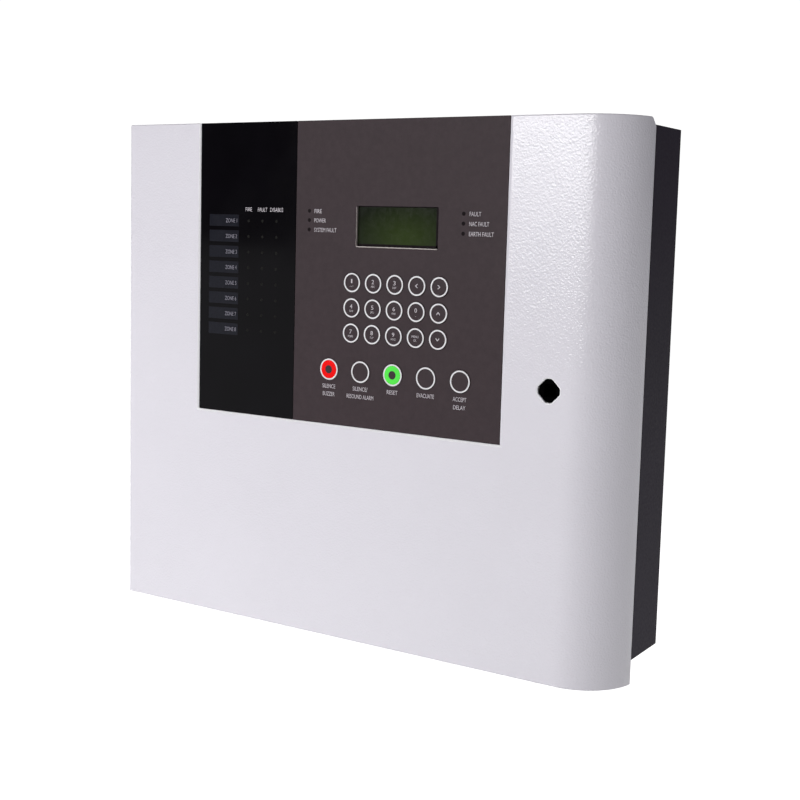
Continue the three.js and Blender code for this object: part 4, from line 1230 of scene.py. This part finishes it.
def main_board_parts():
    lo, hi = low("main_board"), high("main_board")
    board = Board("main_board_parts", lo.y, -1)
    board.screws((lo.x + 6, (lo.x + hi.x) / 2, hi.x - 6), [z for z in (lo.z + 6, hi.z - 6) if z < 100])
    zone_parts(board)
    sounder_parts(board)
    for chip in (
        (-70, 42, 24, 24, 1.8, 20, True), (-32, 50, 18, 10.5, 1.8, 14), (-32, 32, 18, 10.5, 1.8, 14),
        (-128, 30, 12, 8, 1.6, 8), (-128, 12, 12, 8, 1.6, 8), (-100, -4, 16, 8, 1.6, 10),
    ):
        board.chip(*chip)
    board.block(-70, 22, 11, 4.4, 3.6, STEEL, bevel=1.2)
    for capacitor in (
        (50, 50, 6.2, 15), (50, 34, 6.2, 15), (34, 46, 4, 11), (34, 34, 4, 11),
        (-146, -12, 5, 12), (-146, -26, 5, 12), (12, 10, 4, 10), (22, 10, 4, 10), (-12, 8, 3.2, 8),
    ):
        board.capacitor(*capacitor)
    board.block(40, -6, 34, 12, 18, ZINC, bevel=0.5)
    for fin in range(7):
        board.block(26 + fin * 4.6, -6, 1.2, 16, 22, ZINC, bevel=0.2)
    board_fuses(board)
    for column in range(8):
        x = -138 + column * 9
        board.block(x, -22, 2.2, 3.0, 0.7, LAMP_RED if column % 2 else LAMP_AMBER, bevel=0.2)
        board.chip_resistor(x, -28)
    rng = random.Random(7)
    for row in range(4):
        for column in range(9):
            x = -96 + column * 7.2 + rng.uniform(-0.8, 0.8)
            z = 74 + row * 5.4 + rng.uniform(-0.6, 0.6)
            if abs(x - low("ribbon_plug_main").x) > 14:
                upright = rng.random() > 0.5
                board.chip_resistor(x, z, upright, RESISTOR if rng.random() > 0.6 else BLACK)
    for i in range(5):
        board.axial_resistor(-70 + i * 0.4, -16 - i * 4.2, 6.5)
        board.axial_resistor(-52, -16 - i * 4.2, 5.5)
    board.block(-22, -20, 22, 7.5, 9, WHITE, bevel=0.5)
    for pin in range(4):
        board.round(-29.5 + pin * 5, -20, [(1.5, 8), (1.5, 9.05)], LAMP_DARK, sides=14)
    board.piece.place("cabinet", "circuit_board")


def display_board_parts():
    lo, hi = low("display_board"), high("display_board")
    board = Board("display_board_parts", hi.y, 1)
    xs = (low("display_frame").x + 13, high("display_frame").x - 13)
    board.screws(xs, (lo.z + 11, (lo.z + hi.z) / 2, hi.z - 9), radius=2.6, height=1.8)
    for spot in map(middle, KEYS + BUTTONS):
        for dx in (-2.2, 2.2):
            for dz in (-2.6, 2.6):
                board.solder(spot.x + dx, spot.z + dz, "key")
    for z in ZONE_ZS:
        for x in LED_XS:
            for dx in (-1.3, 1.3):
                board.solder(x + dx, z, "lamp")
            board.chip_resistor(x, z - 4.4, upright=False)
    lcd = middle("lcd_module")
    for pin in range(16):
        board.solder(lcd.x + (pin - 7.5) * PIN_PITCH, high("lcd_module").z - 3, "pin")
    board.chip(lcd.x - 12, lcd.z, 14, 14, 1.5, 12, four_sides=True)
    for rise in (4, -9):
        board.chip(lcd.x + 18, lcd.z + rise, 13, 7.6, 1.6, 8)
    board.block(lcd.x + 34, lcd.z + 16, 10, 4.2, 3.4, STEEL, bevel=1.1)
    for dx in (-30, -20):
        board.capacitor(lcd.x + dx, lcd.z + 42, 3.2, 7)
    for i in range(4):
        board.chip(-36, 96 - i * 20, 10, 6, 1.6, 7)
        board.chip_resistor(-27, 98 - i * 20)
        board.chip_resistor(-24, 98 - i * 20, body=RESISTOR)
    board.piece.place("door", "circuit_board")


def fuse_parts():
    """The base, its two sprung clips and a glass fuse with metal ends."""
    lo, hi, centre = low("fuse_holder"), high("fuse_holder"), middle("fuse_holder")
    x, z = centre.x, centre.z
    fuse = Board("fuse_holder_detail", hi.y, -1)
    width, height = hi.x - lo.x, hi.z - lo.z
    lift = hi.y - lo.y - 3.3
    fuse.block(x, z, width, height, 8, BLACK, bevel=0.6)
    fuse.block(x, z, width - 8, height - 4, 2, BLACK, bevel=0.4, lift=8)
    for clip_x in (x - 9, x + 9):
        fuse.block(clip_x, z, 5, 7.4, 0.6, BRASS, bevel=0.15, lift=9.8)
        for dz in (-3.5, 3.5):
            fuse.block(clip_x, z + dz, 5, 0.5, 5.5, BRASS, bevel=0.15, lift=9.8)
        fuse.rod(clip_x, z, lift, [(3.1, 2.4), (2.9, 2.6)], TIN, sides=28)
    fuse.screws((x - 14, x + 14), [z], radius=1.5, height=0.9)
    fuse.rod(x, z, lift, [(2.8, 8)], GLASS, sides=28)
    fuse.piece.place("cabinet", "black_plastic", replaces=["fuse_holder"])


def supply_parts():
    lo, hi = low("power_supply"), high("power_supply")
    supply = Board("power_supply_parts", lo.y, -1)
    supply.screws((lo.x + 5, hi.x - 5), (lo.z + 5, hi.z - 5), radius=2.2, height=1.2)
    supply.block((lo.x + hi.x) / 2, lo.z + 7, 40, 6.5, 0.15, CARD, bevel=0.05)
    supply.piece.place("cabinet", "zinc_plate")


def battery_parts():
    """Labels, polarity marks, vent caps and metal tabs, over each battery's plain case."""
    for name in ("battery_left", "battery_right"):
        lo, x = low(name), middle(name).x
        case_top = high(name).z - CASE_DROP
        mesh = NODES[name].data
        mesh.materials.append(TIN)
        for face in mesh.polygons:
            if face.center.z > (case_top + 0.05) * MM:
                face.material_index = 1
        parts = Board(f"{name}_parts", lo.y, -1)
        parts.block(x, case_top - 17, LABEL_WIDTH, 19, 0.1, BATTERY_LABEL, bevel=0)
        for drop, height in ((9.6, 2.6), (24.6, 1.2)):
            parts.block(x, case_top - drop, LABEL_WIDTH, height, 0.14, BAND_BLUE, bevel=0)
        for mark_x, material, bars in (
            (x - 62, RED_WIRE, [(5, 1.1), (1.1, 5)]), (x + 62, BLACK, [(5, 1.1)]),
        ):
            parts.piece.block(
                mark_x - 7, mark_x + 7, lo.y + 1.5, lo.y + 15, case_top - 0.2, case_top + 0.55, material, 0.2,
            )
            for bar in bars:
                parts.block(mark_x, case_top - 7.5, *bar, 0.2, material, bevel=0)
        for i in range(6):
            place = (x + (i - 2.5) * 14.5, lo.y + 38, case_top)
            profile = [(4.6, -0.1), (4.6, 0.5), (4.2, 0.9), (0, 0.9)]
            parts.piece.turned(profile, place, BATTERY_CASE, axis="z", sides=28)
        for z in (case_top - 38, lo.z + 12):
            parts.block(x, z, 138, 1.2, 0.2, BATTERY_CASE, bevel=0.1)
        parts.piece.place("cabinet", "battery_case")


def hinge_screws():
    """Three countersunk screws in each leaf, midway between its knuckle and its far edge."""
    for node in LEAVES:
        lo, hi = low(node), high(node)
        on_box = node.startswith("box")
        x, y = hi.x - LEAF, (lo.y + hi.y) / 2 + (KNUCKLE + 0.25) * (1 if on_box else -1)
        screws = Piece(f"{node}_screws")
        for share in (-0.33, 0, 0.33):
            z = (lo.z + hi.z) / 2 + share * (hi.z - lo.z)
            screws.turned([
                (0, -1.25), (1.6, -1.15), (2.8, -0.75), (3.3, -0.2), (3.3, 0.05), (1.9, 0.06), (1.9, 1.4),
            ], (x, y, z), STEEL, axis="x", sides=28)
            for dy, dz in ((1.7, 0.38), (0.38, 1.7)):
                screws.block(x - 1.3, x - 1.1, y - dy, y + dy, z - dz, z + dz, BLACK, bevel=0)
        screws.place("cabinet" if on_box else "door", "zinc_plate")


def lock_parts():
    """The nut that holds the tongue, and the four fixings of the lock's plate."""
    tongue, barrel = high("lock_tongue"), middle("lock_barrel")
    nut = Piece("lock_nut")
    profile = [(6.2, 0.05), (6.6, 0.35), (6.6, 1.05), (6.2, 1.3)]
    nut.turned(profile, (barrel.x, tongue.y, barrel.z), STEEL, sides=6)
    nut.place("lock", "zinc_plate", smooth=25)
    plate = Board("lock_plate_fixings", low("lock_housing").y + 2, 1)
    xs, zs = ((place - 10.8, place + 10.8) for place in (barrel.x, barrel.z))
    plate.screws(xs, zs, radius=1.9, height=1.3)
    plate.piece.place("door", "zinc_plate")


RIBBON = {"ways": 20, "half_thickness": 0.5, "core": 0.42, "overlap": 0.53, "run_steps": 12, "turn_steps": 40}


def ribbon():
    """The flat cable with its separate cores, which turns with the door near the hinges."""
    lo, hi = low("ribbon_cable"), high("ribbon_cable")
    half, steps = RIBBON["half_thickness"], RIBBON["run_steps"]
    rear_y, front_y = hi.y - half, lo.y + half
    radius, turn_y = (rear_y - front_y) / 2, (rear_y + front_y) / 2
    turn_x = lo.x + radius + half
    run = (hi.x - turn_x) / steps
    line = [(hi.x - i * run, rear_y, 0, 1) for i in range(steps)]
    for i in range(RIBBON["turn_steps"] + 1):
        a = math.pi / 2 + math.pi * i / RIBBON["turn_steps"]
        c, s = math.cos(a), math.sin(a)
        line.append((turn_x + radius * c, turn_y + radius * s, c, s))
    line += [(turn_x + (i + 1) * run, front_y, 0, -1) for i in range(steps)]
    pitch = (hi.z - lo.z) / RIBBON["ways"]
    turns = [2 * math.pi * (k + 0.5) / 8 for k in range(8)]
    section = [(RIBBON["core"] * math.cos(a), pitch * RIBBON["overlap"] * math.sin(a)) for a in turns]
    cable = Piece("ribbon_cable_cores")
    for way in range(RIBBON["ways"]):
        z = lo.z + (way + 0.5) * pitch
        rings = [[(x + nx * u, y + ny * u, z + v) for u, v in section] for x, y, nx, ny in line]
        cable.form(rings, RIBBON_GREY if way else RED_WIRE)
    thing = cable.place(None, "ribbon_grey", replaces=["ribbon_cable"], smooth=60)
    middle_z = (lo.z + hi.z) / 2 * MM
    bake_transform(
        thing, "cabinet", "door", start=(turn_x * MM, rear_y * MM, middle_z),
        end=(turn_x * MM, front_y * MM, middle_z),
    )


make_studio()
DoorShell().build()
finish_nodes()
zone_window_print()
fascia_plate()
fascia_print_layer()
make_keys()
make_buttons()
make_display()
terminal_screws()
main_board_parts()
display_board_parts()
fuse_parts()
supply_parts()
battery_parts()
hinge_screws()
lock_parts()
ribbon()
